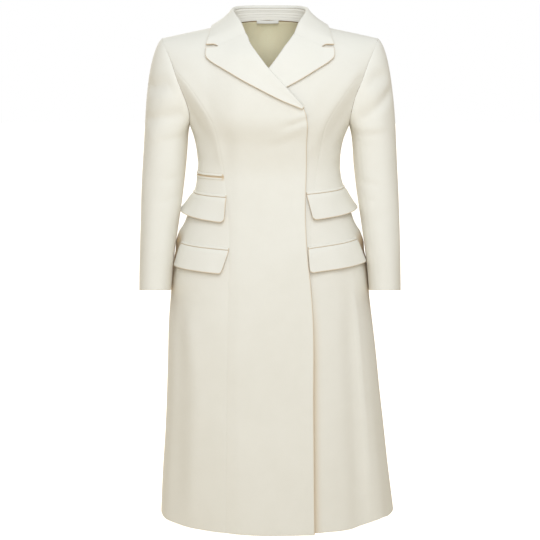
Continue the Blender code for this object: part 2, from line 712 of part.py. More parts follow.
def lapel(side, cloth):
    """A lapel, turned back over its front along the roll line."""
    share = np.array([0, 0.08, 0.17, 0.26, 0.35, 0.44, 0.53, 0.62, 0.71, 0.79, 0.85, 0.90, 0.95, 1.0])
    across = np.array([0, 0.06, 0.2, 0.38, 0.56, 0.72, 0.87, 1.0])
    edge, roll = lapel_outline(share)
    flat = mix(roll[:, None], edge[:, None], across[None, :, None])
    settle = step(0.55, 1.0, share)[:, None, None]
    straight = mix(roll[-1], edge[-1], across[:, None])
    flat = flat + settle * (gorge_line(across) - straight)[None]
    lift = LAPEL_EDGE_LIFT * across**2 + LAPEL_ROLL_LIFT * np.exp(-(((across - 0.2) / 0.2) ** 2))
    outer, normals = on_front(side, flat, np.broadcast_to(lift, flat.shape[:2]))
    name = "lapel_left" if side > 0 else "lapel_right"
    return wall(name, outer, outer - normals * FOLDED_CLOTH, cloth, ("last_row",))


def above_body(x, y, lift):
    """A point off the shoulders, upper back or chest, from a place on the plan."""
    behind = y > 0
    angle = front_angle(x, -0.02)
    angle = np.array(180 - angle if behind else angle)
    reach = read(BODY, "back" if behind else "front", -0.03)
    reach = reach * abs(math.cos(math.radians(angle))) ** (2 / read(BODY, "squareness", -0.03))
    top = ridge_height(x, behind)
    height = UNDERARM_HEIGHT + (top - UNDERARM_HEIGHT) * math.sqrt(1 - min(1.0, abs(y) / reach) ** 2)
    return body_skin(angle, height) + body_normal(angle, height) * lift


def gorge_points(side, across):
    """The collar's front end, just above the lapel's gorge seam and opening out at the notch."""
    flat = gorge_line(across)
    opening = NOTCH_OPENING * step(NOTCH_INNER_SHARE - 0.02, 0.9, across)
    flat = flat + np.stack([0 * across, GORGE_SEAM_RISE + opening], -1)
    lift = LAPEL_EDGE_LIFT * across**2 + LAPEL_ROLL_LIFT * np.exp(-(((across - 0.2) / 0.2) ** 2))
    return on_front(side, flat, lift)[0]


def collar_fall_rows(across):
    """Control rows of the fall from the right gorge round the nape to the left gorge."""
    rows = []
    for station in COLLAR:
        roll = np.array([station.roll_x, station.roll_y, station.roll_z])
        edge = above_body(station.edge_x, station.edge_y, COLLAR_LIFT)
        rounded = COLLAR_ROUND * np.sin(math.pi * across) * np.clip(1 - across, 0.2, 1)
        outward = unit(np.array([edge[0] - roll[0], edge[1] - roll[1], 0.025]))
        rows.append(mix(roll, edge, across[:, None]) + outward * rounded[:, None])
    mirrored = [row * (-1, 1, 1) for row in rows]
    return [gorge_points(-1, across), *mirrored, *rows[-2::-1], gorge_points(1, across)]


def along_stations(rows, count):
    """A finer grid through the control rows."""
    rows = np.array(rows)
    steps = np.linalg.norm(np.diff(rows[:, 0], axis=0), axis=-1)
    knots = np.concatenate([[0], np.cumsum(np.sqrt(steps))])
    at = np.linspace(0, knots[-1], count)
    flat = rows.reshape(len(rows), -1)
    fine = np.stack([smooth(knots, flat[:, k], at) for k in range(flat.shape[1])], -1)
    return fine.reshape(count, *rows.shape[1:])


def grid_normals(grid):
    return unit(np.cross(np.gradient(grid, axis=1), np.gradient(grid, axis=0)))


def collar_fall(cloth):
    across = np.array([0, 0.1, 0.28, 0.5, 0.72, 0.87, 1.0])
    outer = along_stations(collar_fall_rows(across), 31)
    normals = grid_normals(outer)
    return wall("collar_fall", outer, outer + normals * FOLDED_CLOTH, cloth)


def collar_stand(cloth):
    """The band inside the collar, from the neck seam up to the roll."""
    rows = []
    for station in COLLAR:
        seam = np.array([station.seam_x, station.seam_y, station.seam_z])
        roll = np.array([station.roll_x, station.roll_y, station.roll_z])
        inside = unit(np.array([-station.roll_x, 0.012 - station.roll_y, -0.02])) * STAND_SET_IN
        rows.append(np.linspace(seam, roll + inside, 4))
    rows = [row * (-1, 1, 1) for row in rows] + rows[-2::-1]
    inner = along_stations(rows, 21)
    normals = grid_normals(inner)
    return wall("collar_stand", inner - normals * CLOTH, inner, cloth)


# Pockets


def flap_places(shape, across, down):
    """(angles, heights) of a flap: across 0 is its inner end, down 0 its sewn top edge."""
    drop = mix(shape.inner_drop, shape.outer_drop, across)
    inner_height = shape.top - shape.inner_drop * down
    inner = np.abs(front_angle(shape.side * (shape.inner_half + shape.inner_lean * down), inner_height))
    angle = shape.side * mix(inner, shape.outer_angle, across[None, :])
    top = shape.top + shape.rise * across**POCKET_RISE_SHAPE
    points = body_skin(angle[0], top)
    along = np.concatenate([[0], np.cumsum(np.linalg.norm(np.diff(points, axis=0), axis=-1))])
    raised = corner_rise(along, FLAP_CORNER) + corner_rise(along[-1] - along, FLAP_OUTER_CORNER)
    return angle, top - down * (drop - raised)[None, :]


def corner_rise(from_end, radius):
    """How far a rounded corner lifts the lower edge, by the distance from the end."""
    short = radius - np.minimum(from_end, radius)
    return radius - np.sqrt(radius**2 - short**2)


def flap(shape, cloth):
    """A pocket flap, sewn along its top edge and standing off towards its lower edge."""
    down = np.array([0, 0.12, 0.4, 0.7, 1.0])[:, None]
    angle, height = flap_places(shape, POCKET_SHARES, down)
    flare = mix(shape.flare_inner, shape.flare_outer, POCKET_SHARES**3)
    offset = TRIM_GAP + FOLDED_CLOTH + flare[None, :] * down**FLAP_FLARE_SHAPE
    return skin_wall(f"flap_{shape.name}", angle, height, offset, FOLDED_CLOTH, cloth)


def welt(name, side, inner_half, outer_angle, top, rise, cloth):
    """A narrow folded strip along a pocket's mouth."""
    angle = mix(abs(float(front_angle(side * inner_half, top))), outer_angle, POCKET_SHARES)
    height = top + rise * POCKET_SHARES**POCKET_RISE_SHAPE - WELT_HEIGHT * np.linspace(0, 1, 3)[:, None]
    offset = TRIM_GAP + TRIM_CLOTH + np.array([0, 0.0004, 0])[:, None] + 0 * height
    return skin_wall(name, np.broadcast_to(side * angle, height.shape), height, offset, TRIM_CLOTH, cloth)


def pockets(cloth):
    for shape in FLAPS:
        flap(shape, cloth)
        top = shape.top + WELT_HEIGHT + SEAM_GAP
        welt(f"welt_{shape.name}", shape.side, shape.inner_half, shape.outer_angle, top, shape.rise, cloth)
    ticket_half = float(princess_half(TICKET_TOP)) + 0.0015
    for name, top in (("upper", TICKET_TOP), ("lower", TICKET_TOP - WELT_HEIGHT - TICKET_SLIT)):
        welt(f"ticket_welt_{name}", -1, ticket_half, TICKET_OUTER_ANGLE, top, 0.0, cloth)


def clear_scene():
    for old in list(bpy.data.objects):
        bpy.data.objects.remove(old, do_unlink=True)


def main():
    clear_scene()
    hang_point = bpy.data.objects.new("coat", None)
    bpy.context.scene.collection.objects.link(hang_point)
    ivory = material("ivory_wool", IVORY, CLOTH_ROUGHNESS)
    tan = material("tan_lining", TAN, LINING_ROUGHNESS)
    for side in (1, -1):
        front(side, ivory)
        side_front(side, ivory)
        back(side, ivory)
        sleeve(side, False, ivory)
        sleeve(side, True, ivory)
        lapel(side, ivory)
    collar_fall(ivory)
    collar_stand(ivory)
    pockets(ivory)
    lining(tan)
    hanger_loop(ivory)


main()
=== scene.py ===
"""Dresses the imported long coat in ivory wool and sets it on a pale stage.

The coat faces -Y with +Z up, and +X is on the wearer's left. The origin is midway between the
side neck points. Sizes are in metres, angles in degrees. A place on the body is an angle round it,
0 at the centre front, 90 at the left side seam and 180 at the centre back, and a height.
"""

import math
from collections import namedtuple
from functools import partial

import bpy
import numpy as np
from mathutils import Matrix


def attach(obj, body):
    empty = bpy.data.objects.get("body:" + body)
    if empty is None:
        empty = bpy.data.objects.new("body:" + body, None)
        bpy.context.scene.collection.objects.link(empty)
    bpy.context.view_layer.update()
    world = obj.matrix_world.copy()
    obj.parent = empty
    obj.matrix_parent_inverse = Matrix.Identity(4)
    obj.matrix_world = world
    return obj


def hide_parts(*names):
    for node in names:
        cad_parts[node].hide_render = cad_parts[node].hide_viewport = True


bl_info = {
    "name": "Long Coat",
    "version": (1, 0, 0),
    "blender": (4, 5, 0),
    "location": "3D View > Sidebar > Long Coat",
    "description": "Makes the cloth pieces of a long tailored coat and a plain studio stage",
    "category": "Object",
}

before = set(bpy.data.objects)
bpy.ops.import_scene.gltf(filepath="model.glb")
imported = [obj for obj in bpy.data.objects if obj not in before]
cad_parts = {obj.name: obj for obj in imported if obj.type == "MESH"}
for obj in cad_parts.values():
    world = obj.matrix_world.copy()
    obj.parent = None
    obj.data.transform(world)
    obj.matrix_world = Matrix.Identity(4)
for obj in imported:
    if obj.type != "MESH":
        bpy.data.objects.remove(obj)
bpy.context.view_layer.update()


# Driving sizes, the same as the solids have
HEM_HEIGHT = -1.079
UNDERARM_HEIGHT = -0.219
BREAK_HEIGHT = -0.172
PRINCESS_TOP_HEIGHT = -0.095
LINING_HEM_HEIGHT = -0.250
NECK_HALF = 0.080
SHOULDER_TIP_HALF = 0.232
SHOULDER_SLOPE = 0.2125
NAPE_DEPTH = 0.062
NAPE_RISE = 0.040

# Cloth, and the room between its layers
CLOTH = 0.002
FOLDED_CLOTH = 0.003
LINING_CLOTH = 0.001
LOOP_CLOTH = 0.0012
SEAM_GAP = 0.0001
LAPEL_GAP = 0.0007
LINING_GAP = 0.0030
LINING_EASE = 0.008
LINING_EASE_HEIGHT = -0.080
LINING_EASE_REACH = 0.050
LINING_HALF_ANGLE = 62
LINING_NECK_TURN = 78
LINING_COLUMNS = 81
LINING_ROWS = 60
LINING_FOLD = 0.0012
LINING_FOLD_SHARE = 0.6
LINING_FOLD_ROUND = 23
LINING_FOLD_CLIMB = 18
LINING_PLEAT = 0.0026
LINING_PLEAT_PLACE = 0.02
LINING_PLEAT_WIDTH = 0.045

# Where the right front crosses the left
OVERLAP_RISE = 0.0030
OVERLAP_EDGE_LIFT = 0.0026
OVERLAP_EDGE_REACH = 0.030
OVERLAP_LIFT_FADE = (-0.30, -0.22)
LAPEL_UNDER_RISE = 0.0062
UNDERLAP_EDGE = -0.058
UNDERLAP_RUN_IN = -0.20
OVERLAP_RAMP = (-0.096, -0.064)
LAPEL_RAMP = (-0.135, -0.080)
LAPEL_RISE_HEIGHTS = (-0.255, -0.190)
OVERLAP_FADE_HEIGHTS = (-0.078, -0.026)

# Rows of the body panels
SKIRT_ROWS = 9
WAIST_ROWS = 12
FRONT_ARMHOLE_ROWS = 7
BACK_ARMHOLE_ROWS = 9
POCKET_LEVEL = -0.54
BACK_SHOULDER_SHARE = 0.7
SETTLE_ROWS = 6
WIDTH_ROW_SHARE = 0.45
# The wearer's right, then left
SIDES = (-1, 1)

# The body from the hem to above the shoulders
BodySection = namedtuple("BodySection", "height right_half left_half front back squareness")
BODY = [
    BodySection(-1.079, 0.2450, 0.2790, 0.182, 0.168, 2.40),
    BodySection(-0.831, 0.2296, 0.2485, 0.158, 0.152, 2.50),
    BodySection(-0.605, 0.2185, 0.2207, 0.139, 0.138, 2.50),
    BodySection(-0.493, 0.2050, 0.2045, 0.128, 0.127, 2.45),
    BodySection(-0.4265, 0.1850, 0.1830, 0.118, 0.111, 2.40),
    BodySection(-0.3605, 0.1650, 0.1620, 0.110, 0.095, 2.35),
    BodySection(-0.306, 0.1572, 0.1525, 0.107, 0.088, 2.30),
    BodySection(-0.2513, 0.1630, 0.1590, 0.116, 0.093, 2.30),
    BodySection(-0.219, 0.1735, 0.1715, 0.123, 0.099, 2.35),
    BodySection(-0.164, 0.2020, 0.2010, 0.127, 0.105, 2.40),
    BodySection(-0.100, 0.2350, 0.2350, 0.127, 0.108, 2.40),
    BodySection(-0.030, 0.2620, 0.2620, 0.125, 0.108, 2.40),
    BodySection(0.060, 0.2650, 0.2650, 0.125, 0.108, 2.40),
]

# Falls of the skirt, which grow towards the hem
Flute = namedtuple("Flute", "angle top reach width")
FLUTES = [
    Flute(-66.0, -0.55, 0.004, 9.0),
    Flute(-38.0, -0.62, -0.005, 13.0),
    Flute(44.0, -0.50, -0.009, 9.0),
    Flute(56.0, -0.45, 0.006, 8.0),
    Flute(98.0, -0.55, -0.010, 10.0),
    Flute(124.0, -0.50, 0.014, 11.0),
    Flute(152.0, -0.55, -0.010, 11.0),
    Flute(-152.0, -0.60, -0.009, 12.0),
    Flute(-126.0, -0.52, 0.013, 10.0),
    Flute(-99.0, -0.58, -0.008, 10.0),
]

# How far the hem rises or drops round the skirt
HemPoint = namedtuple("HemPoint", "angle rise")
HEM_LINE = [
    HemPoint(-180, 0.0),
    HemPoint(-115, 0.0),
    HemPoint(-85, 0.0040),
    HemPoint(-62, 0.0),
    HemPoint(-42, -0.0030),
    HemPoint(-20, -0.0040),
    HemPoint(0, -0.0040),
    HemPoint(22, -0.0030),
    HemPoint(45, 0.0005),
    HemPoint(53, 0.0075),
    HemPoint(60, 0.0095),
    HemPoint(67, 0.0060),
    HemPoint(75, 0.0065),
    HemPoint(90, 0.0070),
    HemPoint(115, 0.0),
    HemPoint(180, 0.0),
]
HEM_SETTLE_HEIGHT = -0.850
FLUTE_GROWTH = 1.4
OVERLAP_HEM_DROP = 0.0025
OVERLAP_HEM_SHARE = 0.6

# Seams and edges of the fronts, by how far they lie from the middle
SeamPoint = namedtuple("SeamPoint", "height half")
PRINCESS_SEAM = [
    SeamPoint(-1.079, 0.0950),
    SeamPoint(-0.650, 0.0905),
    SeamPoint(-0.528, 0.0876),
    SeamPoint(-0.477, 0.0862),
    SeamPoint(-0.417, 0.0875),
    SeamPoint(-0.350, 0.0940),
    SeamPoint(-0.300, 0.1010),
    SeamPoint(-0.255, 0.1085),
    SeamPoint(-0.211, 0.1185),
    SeamPoint(-0.180, 0.1350),
    SeamPoint(-0.149, 0.1560),
    SeamPoint(-0.118, 0.1800),
    SeamPoint(-0.095, 0.2041),
]
FRONT_EDGE = [
    SeamPoint(-1.079, 0.0955),
    SeamPoint(-0.805, 0.0925),
    SeamPoint(-0.609, 0.0905),
    SeamPoint(-0.552, 0.0862),
    SeamPoint(-0.479, 0.0785),
    SeamPoint(-0.418, 0.0750),
    SeamPoint(-0.268, 0.0760),
    SeamPoint(-0.187, 0.0735),
    SeamPoint(-0.172, 0.0685),
]
ROLL_LINE = [
    SeamPoint(-0.172, 0.0700),
    SeamPoint(-0.130, 0.0330),
    SeamPoint(-0.088, -0.0050),
    SeamPoint(-0.064, -0.0235),
    SeamPoint(-0.0415, -0.0390),
    SeamPoint(-0.0210, -0.0510),
    SeamPoint(-0.0090, -0.0640),
    SeamPoint(0.0, -0.0800),
]
ROLL_TO_CLOTH_EDGE = 0.0028
ROLL_LEAN = {-1: -0.0030, 1: 0.0050}
ROLL_LEAN_FULL_HEIGHTS = (-0.10, -0.05)
BREAK_SET_BACK = 0.0015
BREAK_SHARE = 0.06

ArmholePoint = namedtuple("ArmholePoint", "height front_angle back_angle")
ARMHOLE = [
    ArmholePoint(-0.0323, 60.0, 120.0),
    ArmholePoint(-0.060, 57.5, 121.5),
    ArmholePoint(-0.095, 56.5, 121.5),
    ArmholePoint(-0.130, 58.0, 120.0),
    ArmholePoint(-0.165, 61.5, 117.0),
    ArmholePoint(-0.193, 67.0, 112.5),
    ArmholePoint(-0.2105, 76.0, 104.0),
    ArmholePoint(-0.219, 90.0, 90.0),
]
PRINCESS_SHARE = 2 / 7

SleeveRing = namedtuple("SleeveRing", "height outer inner centre_y half_depth tilt")
SLEEVE = [
    SleeveRing(-0.262, 0.2738, 0.1790, -0.002, 0.0640, 0.02),
    SleeveRing(-0.294, 0.2755, 0.1812, -0.006, 0.0625, 0.04),
    SleeveRing(-0.359, 0.2786, 0.1882, -0.014, 0.0600, 0.08),
    SleeveRing(-0.425, 0.2805, 0.1978, -0.025, 0.0575, 0.11),
    SleeveRing(-0.491, 0.2822, 0.2072, -0.038, 0.0550, 0.14),
    SleeveRing(-0.550, 0.2833, 0.2132, -0.048, 0.0530, 0.16),
    SleeveRing(-0.573, 0.2835, 0.2150, -0.052, 0.0525, 0.17),
]
SLEEVE_SQUARENESS = 2.2
UNDER_SLEEVE_FROM = 135.6
UNDER_SLEEVE_TO = 251.6
CAP_TANGENT_TIP = (0.090, 0.0, -0.080)
CAP_TANGENT_UNDERARM = (0.012, 0.0, -0.040)
CAP_SIDE_OUT = 0.016
CAP_SIDE_SWELL = 0.024
CAP_RELIEF_FADE = 0.03
CAP_MITRE = 0.004
SLEEVE_ARM = 0.052

EdgePoint = namedtuple("EdgePoint", "share half height")
LAPEL_EDGE = [
    EdgePoint(0.00, 0.0650, -0.1762),
    EdgePoint(0.22, 0.0141, -0.1552),
    EdgePoint(0.36, -0.0180, -0.1395),
    EdgePoint(0.55, -0.0609, -0.1180),
    EdgePoint(0.71, -0.0972, -0.0968),
    EdgePoint(0.84, -0.1262, -0.0790),
    EdgePoint(0.90, -0.1338, -0.0715),
    EdgePoint(1.00, -0.1345, -0.0525),
]
GORGE_ROLL = (-0.0500, -0.0230)
NOTCH_INNER = (-0.1105, -0.0505)
NOTCH_INNER_SHARE = 0.72
NOTCH_OPENING = 0.0048
NOTCH_OPENING_SHARES = (0.70, 0.79)
LAPEL_EDGE_LIFT = 0.0014
LAPEL_EDGE_CURL = 0.0026
LAPEL_COVERED_HEIGHTS = (-0.150, -0.112)
LAPEL_ROLL_LIFT = 0.0012
LAPEL_ROLL_PLACE = 0.2
LAPEL_ROLL_SPREAD = 0.2
LAPEL_FOLD_RADIUS = 0.0033
LAPEL_FOLD_SHARE = 0.30
LAPEL_FOLD_FROM = -38
LAPEL_SETTLE_SHARE = 0.55
LAPEL_WIDTH = 0.085
LAPEL_LENGTH = 0.19
FOLD_COLUMNS = 9
FOLD_CORE = 0.0002
NOTCH_END = 0.03
FACE_SPACING = 0.8

CollarStation = namedtuple("CollarStation", "roll_x roll_y roll_z edge_x edge_y seam_x seam_y seam_z")
COLLAR = [
    CollarStation(0.0640, -0.044, 0.0040, 0.1315, -0.050, 0.0660, -0.034, -0.0060),
    CollarStation(0.0805, -0.003, 0.0278, 0.1205, 0.004, 0.0735, 0.001, -0.0015),
    CollarStation(0.0725, 0.032, 0.0352, 0.1035, 0.042, 0.0612, 0.031, 0.0004),
    CollarStation(0.0425, 0.0558, 0.0369, 0.0585, 0.066, 0.0345, 0.0500, 0.0026),
    CollarStation(0.0, 0.062, 0.0370, 0.0, 0.0770, 0.0, 0.0557, 0.0042),
]
STAND_TRIM = 0.0012
STAND_ROWS = 61
STAND_COLUMNS = 70
STAND_TOP_DROP = 0.12
STAND_CENTRE = (0, 0.012, 0)
StandLine = namedtuple("StandLine", "place width depth")
STAND_LINES = [
    StandLine(0.22, 0.035, 0.0004),
    StandLine(0.44, 0.040, 0.0005),
    StandLine(0.64, 0.035, 0.0006),
    StandLine(0.86, 0.070, -0.0010),
]
COLLAR_WIDTH = 0.065
COLLAR_LENGTH = 0.42
COLLAR_FOLD_FROM = 208
COLLAR_LIFT = 0.0060
COLLAR_ROUND = -0.0022
COLLAR_FOLD_RADIUS = 0.0042
COLLAR_ANGLE_HEIGHT = -0.02
COLLAR_REACH_HEIGHT = -0.03
MIRRORED = np.array([-1, 1, 1])
GORGE_SEAM_RISE = 0.00012

Flap = namedtuple(
    "Flap",
    "name side top rise inner_drop outer_drop inner_half inner_lean outer_angle flare_inner flare_outer",
)
FLAPS = [
    Flap("upper_right", -1, -0.3660, 0.0020, 0.0535, 0.0450, 0.0920, 0.0040, 88.0, 0.0035, 0.0138),
    Flap("lower_right", -1, -0.4765, 0.0050, 0.0500, 0.0490, 0.0866, 0.0145, 72.0, 0.0035, 0.0030),
    Flap("upper_left", 1, -0.3595, 0.0060, 0.0545, 0.0500, 0.0766, 0.0125, 88.0, 0.0035, 0.0122),
    Flap("lower_left", 1, -0.4740, 0.0115, 0.0505, 0.0500, 0.0800, 0.0034, 72.0, 0.0035, 0.0030),
]
FLAP_CORNER = 0.009
FLAP_OUTER_CORNER = 0.004
FLAP_FLARE_SHAPE = 0.85
FLAP_CURL = 0.0022
FLAP_CURL_REACH = 0.010
FLAP_WAVE = 0.0007
FLAP_WAVE_RATE = 95
FLAP_WAVE_PHASE = 40
FLAP_SEWN_CLOTH = 0.0014
FLAP_SEWN_SHARE = 0.16
FLAP_CURL_SHARE = 0.35
FLAP_LENGTH = 0.125
POCKET_SPACING = 0.7
POCKET_RISE_SHAPE = 0.6
FLAP_GAP = 0.0006
WELT_HEIGHT = 0.0055
WELT_LENGTH = 0.12
WELT_ROWS = 13
WELT_SEAT = 0.0004
WELT_ROUND = 0.0020
WELT_LEAST_CLOTH = 0.0003
WELT_CLOTH = 0.0018
LOWER_WELT_FULLNESS = 0.6
TICKET_TOP = -0.3165
TICKET_OUTER_ANGLE = 84.0
TICKET_SLIT = 0.0016
TICKET_INSET = 0.0015
HANGER_LOOP_HALF = 0.026
HANGER_LOOP_CENTRE = -0.0055
HANGER_LOOP_TOP = 0.0095
HANGER_LOOP_WIDTH = 0.0055
LOOP_GAP = 0.0016
LOOP_SAG = 0.0022
LOOP_TILT = 0.0030
LOOP_COLUMNS = 41
LOOP_ROWS = 12

# Creases on the body, from one place to another: a trough where the depth is below zero, else a ridge
BodyCrease = namedtuple("BodyCrease", "from_angle from_height to_angle to_height width depth")
BODY_CREASES = [
    # the right front is drawn from the break point down across the chest
    BodyCrease(21.0, -0.196, 6.0, -0.216, 0.0055, -0.0018),
    BodyCrease(21.0, -0.184, 8.0, -0.200, 0.0070, 0.0014),
    BodyCrease(30.0, -0.198, -2.0, -0.246, 0.0090, 0.0008),
    BodyCrease(24.0, -0.222, -14.0, -0.276, 0.0120, -0.0007),
    # the chest turns to the side along the princess seams
    BodyCrease(-54.0, -0.090, -41.0, -0.185, 0.0170, 0.0030),
    BodyCrease(-41.5, -0.165, -39.0, -0.300, 0.0150, 0.0026),
    BodyCrease(-66.0, -0.135, -56.0, -0.250, 0.0240, -0.0032),
    BodyCrease(50.0, -0.085, 37.0, -0.180, 0.0190, 0.0028),
    BodyCrease(37.5, -0.165, 32.0, -0.275, 0.0160, 0.0022),
    BodyCrease(62.0, -0.130, 48.0, -0.250, 0.0240, -0.0028),
    # the waist gives a little at both sides
    BodyCrease(62.0, -0.296, 92.0, -0.318, 0.0080, -0.0014),
    BodyCrease(70.0, -0.327, 104.0, -0.338, 0.0090, -0.0011),
    BodyCrease(58.0, -0.262, 86.0, -0.247, 0.0100, -0.0010),
    BodyCrease(-60.0, -0.287, -94.0, -0.304, 0.0085, -0.0013),
    BodyCrease(-74.0, -0.339, -100.0, -0.350, 0.0090, -0.0009),
    BodyCrease(-60.0, -0.252, -84.0, -0.238, 0.0100, -0.0010),
    # the lower pockets fill the hips
    BodyCrease(-95.0, -0.452, -82.0, -0.474, 0.0220, 0.0066),
    BodyCrease(95.0, -0.452, 82.0, -0.474, 0.0220, 0.0064),
    BodyCrease(-91.0, -0.492, -90.0, -0.574, 0.0160, 0.0026),
    BodyCrease(91.0, -0.496, 90.0, -0.574, 0.0160, 0.0026),
    # long shallow falls in the skirt
    BodyCrease(-16.0, -0.560, -13.0, -1.060, 0.0260, 0.0012),
    BodyCrease(4.0, -0.640, 6.0, -1.079, 0.0240, -0.0012),
    BodyCrease(20.0, -0.520, 21.0, -0.960, 0.0180, 0.0009),
    BodyCrease(46.5, -0.560, 42.0, -1.079, 0.0170, -0.0036),
    BodyCrease(53.5, -0.560, 50.5, -1.079, 0.0055, 0.0027),
    BodyCrease(-46.0, -0.620, -37.0, -0.850, 0.0220, 0.0030),
    BodyCrease(-40.0, -0.800, -42.0, -1.090, 0.0200, 0.0034),
    BodyCrease(-58.0, -0.600, -56.0, -1.090, 0.0260, -0.0040),
    BodyCrease(-80.0, -0.560, -79.0, -1.079, 0.0160, 0.0014),
    BodyCrease(82.0, -0.600, 84.0, -1.079, 0.0140, -0.0012),
    BodyCrease(112.0, -0.580, 109.0, -1.030, 0.0180, 0.0013),
    BodyCrease(139.0, -0.560, 142.0, -1.079, 0.0170, -0.0012),
    BodyCrease(170.0, -0.600, 171.0, -1.079, 0.0200, 0.0013),
    BodyCrease(-138.0, -0.590, -141.0, -1.060, 0.0170, -0.0013),
    BodyCrease(-112.0, -0.560, -113.0, -1.079, 0.0180, 0.0011),
    BodyCrease(-167.0, -0.640, -168.0, -1.079, 0.0190, -0.0010),
    # the back is drawn between the shoulder blades and into the waist
    BodyCrease(150.0, -0.090, 165.0, -0.150, 0.0140, -0.0011),
    BodyCrease(-148.0, -0.100, -166.0, -0.165, 0.0150, -0.0010),
    BodyCrease(128.0, -0.290, 156.0, -0.318, 0.0100, -0.0013),
    BodyCrease(140.0, -0.330, 172.0, -0.339, 0.0110, 0.0010),
    BodyCrease(-124.0, -0.298, -158.0, -0.312, 0.0100, -0.0013),
    BodyCrease(-136.0, -0.337, -170.0, -0.349, 0.0110, 0.0010),
]

# Creases on the sleeves, by the turn round the sleeve (0 away from the body, 90 in front) and the height
SleeveCrease = namedtuple("SleeveCrease", "side from_turn from_height to_turn to_height width depth")
SLEEVE_CREASES = [
    SleeveCrease(1, 102.0, -0.128, 38.0, -0.108, 0.0140, -0.0056),
    SleeveCrease(1, 114.0, -0.210, 22.0, -0.136, 0.0110, -0.0050),
    SleeveCrease(1, 104.0, -0.226, 58.0, -0.214, 0.0100, 0.0016),
    SleeveCrease(1, 140.0, -0.236, 76.0, -0.232, 0.0090, -0.0014),
    SleeveCrease(1, 152.0, -0.330, 84.0, -0.345, 0.0085, -0.0015),
    SleeveCrease(1, 150.0, -0.372, 96.0, -0.377, 0.0080, -0.0012),
    SleeveCrease(1, 40.0, -0.330, 20.0, -0.520, 0.0160, 0.0008),
    SleeveCrease(1, 250.0, -0.340, 310.0, -0.372, 0.0110, -0.0011),
    SleeveCrease(1, 240.0, -0.214, 300.0, -0.176, 0.0090, -0.0014),
    SleeveCrease(-1, 98.0, -0.122, 20.0, -0.138, 0.0140, -0.0056),
    SleeveCrease(-1, 116.0, -0.190, 28.0, -0.206, 0.0125, -0.0044),
    SleeveCrease(-1, 108.0, -0.232, 50.0, -0.244, 0.0130, 0.0014),
    SleeveCrease(-1, 138.0, -0.240, 80.0, -0.246, 0.0090, -0.0012),
    SleeveCrease(-1, 150.0, -0.322, 90.0, -0.334, 0.0085, -0.0013),
    SleeveCrease(-1, 154.0, -0.362, 88.0, -0.381, 0.0085, -0.0013),
    SleeveCrease(-1, 34.0, -0.300, 24.0, -0.500, 0.0150, 0.0008),
    SleeveCrease(-1, 252.0, -0.330, 314.0, -0.352, 0.0110, -0.0012),
    SleeveCrease(-1, 242.0, -0.208, 296.0, -0.170, 0.0090, -0.0013),
]

# Distances from an edge at which a piece has rows of points, and how the cloth is shaped there
FREE_EDGE_STEPS = (0.0, 0.00016, 0.0005, 0.0010, 0.0016, 0.0024, 0.0036, 0.0056, 0.0086)
SEAM_STEPS = (0.0, 0.0005, 0.0011, 0.0019, 0.0030, 0.0045, 0.0068, 0.0100)
EDGE_STEPS = {
    "free": FREE_EDGE_STEPS,
    "hem": FREE_EDGE_STEPS,
    "seam": SEAM_STEPS,
    "plain": (0.0,),
}
GRID_EDGES = ("first_row", "last_row", "first_column", "last_column")
ALL_FREE = dict.fromkeys(GRID_EDGES, "free")
EDGE_ROOM = 0.7
SHARP_ANGLE = 60
SEAM_DIP = 0.00030
SEAM_SPREAD = 0.0026
FREE_EDGE_ROUND = 0.65
FREE_EDGE_LEAST = 0.10
CREASE_ARM = 0.16
CREASE_PLATEAU = 0.28
CREASE_TAPER = 0.20
RIDGE_FADE = (0.55, 0.85)

# The slight waviness of pressed cloth: sines round the body or a sleeve and up it
UNEVENNESS = 0.00022
SLEEVE_UNEVENNESS = 0.00025
Wave = namedtuple("Wave", "share round climb phase")
WAVES = [
    Wave(1.0, 5, 17, 0.6),
    Wave(1.0, 9, -11, 2.1),
    Wave(0.8, 3, 37, 4.0),
    Wave(0.6, 14, 29, 1.2),
]
SLEEVE_WAVES = [
    Wave(1.0, 3, 31, 1.0),
    Wave(0.7, 5, -23, 2.0),
]

# Painted shade: the outer face takes some of the warm tone of the wool's reverse along free edges and in
# narrow gaps, where shadow falls
# painted shade along free edges, lessened where an edge stands upright and along the collar's edge
RIM_SHADE = 0.72
RIM_SHADE_SPREAD = 0.0020
RIM_SHADE_UPRIGHT = (0.75, 0.95)
UPRIGHT_RIM_SHADE_LOSS = 0.8
COLLAR_RIM_SHADE = 0.3
# painted shade in the ticket pocket's slit and along the welts' edges at the pocket mouths
SLIT_SHADE = 0.9
SLIT_SHADE_SPREAD = 0.004
WELT_SHADE_SPREAD = 0.22
# painted shade on the hips, in the gap beside the cuffs
HIP_SHADE = 0.9
HIP_SHADE_ANGLE = 83.0
HIP_SHADE_SPREAD = 8.0
HIP_SHADE_START = (-0.588, -0.566)
HIP_SHADE_END = (-0.470, -0.440)
# painted shade on the sleeves' sides that face the body
SLEEVE_SHADE = 0.28
SLEEVE_SHADE_SPREAD = 30.0
# painted shade over the collar stand inside the neck
STAND_SHADE = 0.08
# painted shadow on the left front beside the right front's overlapping edge
OVERLAP_SHADE = 0.52
OVERLAP_SHADE_SPREAD = 0.010
OVERLAP_SHADE_END = (-0.76, -0.48)

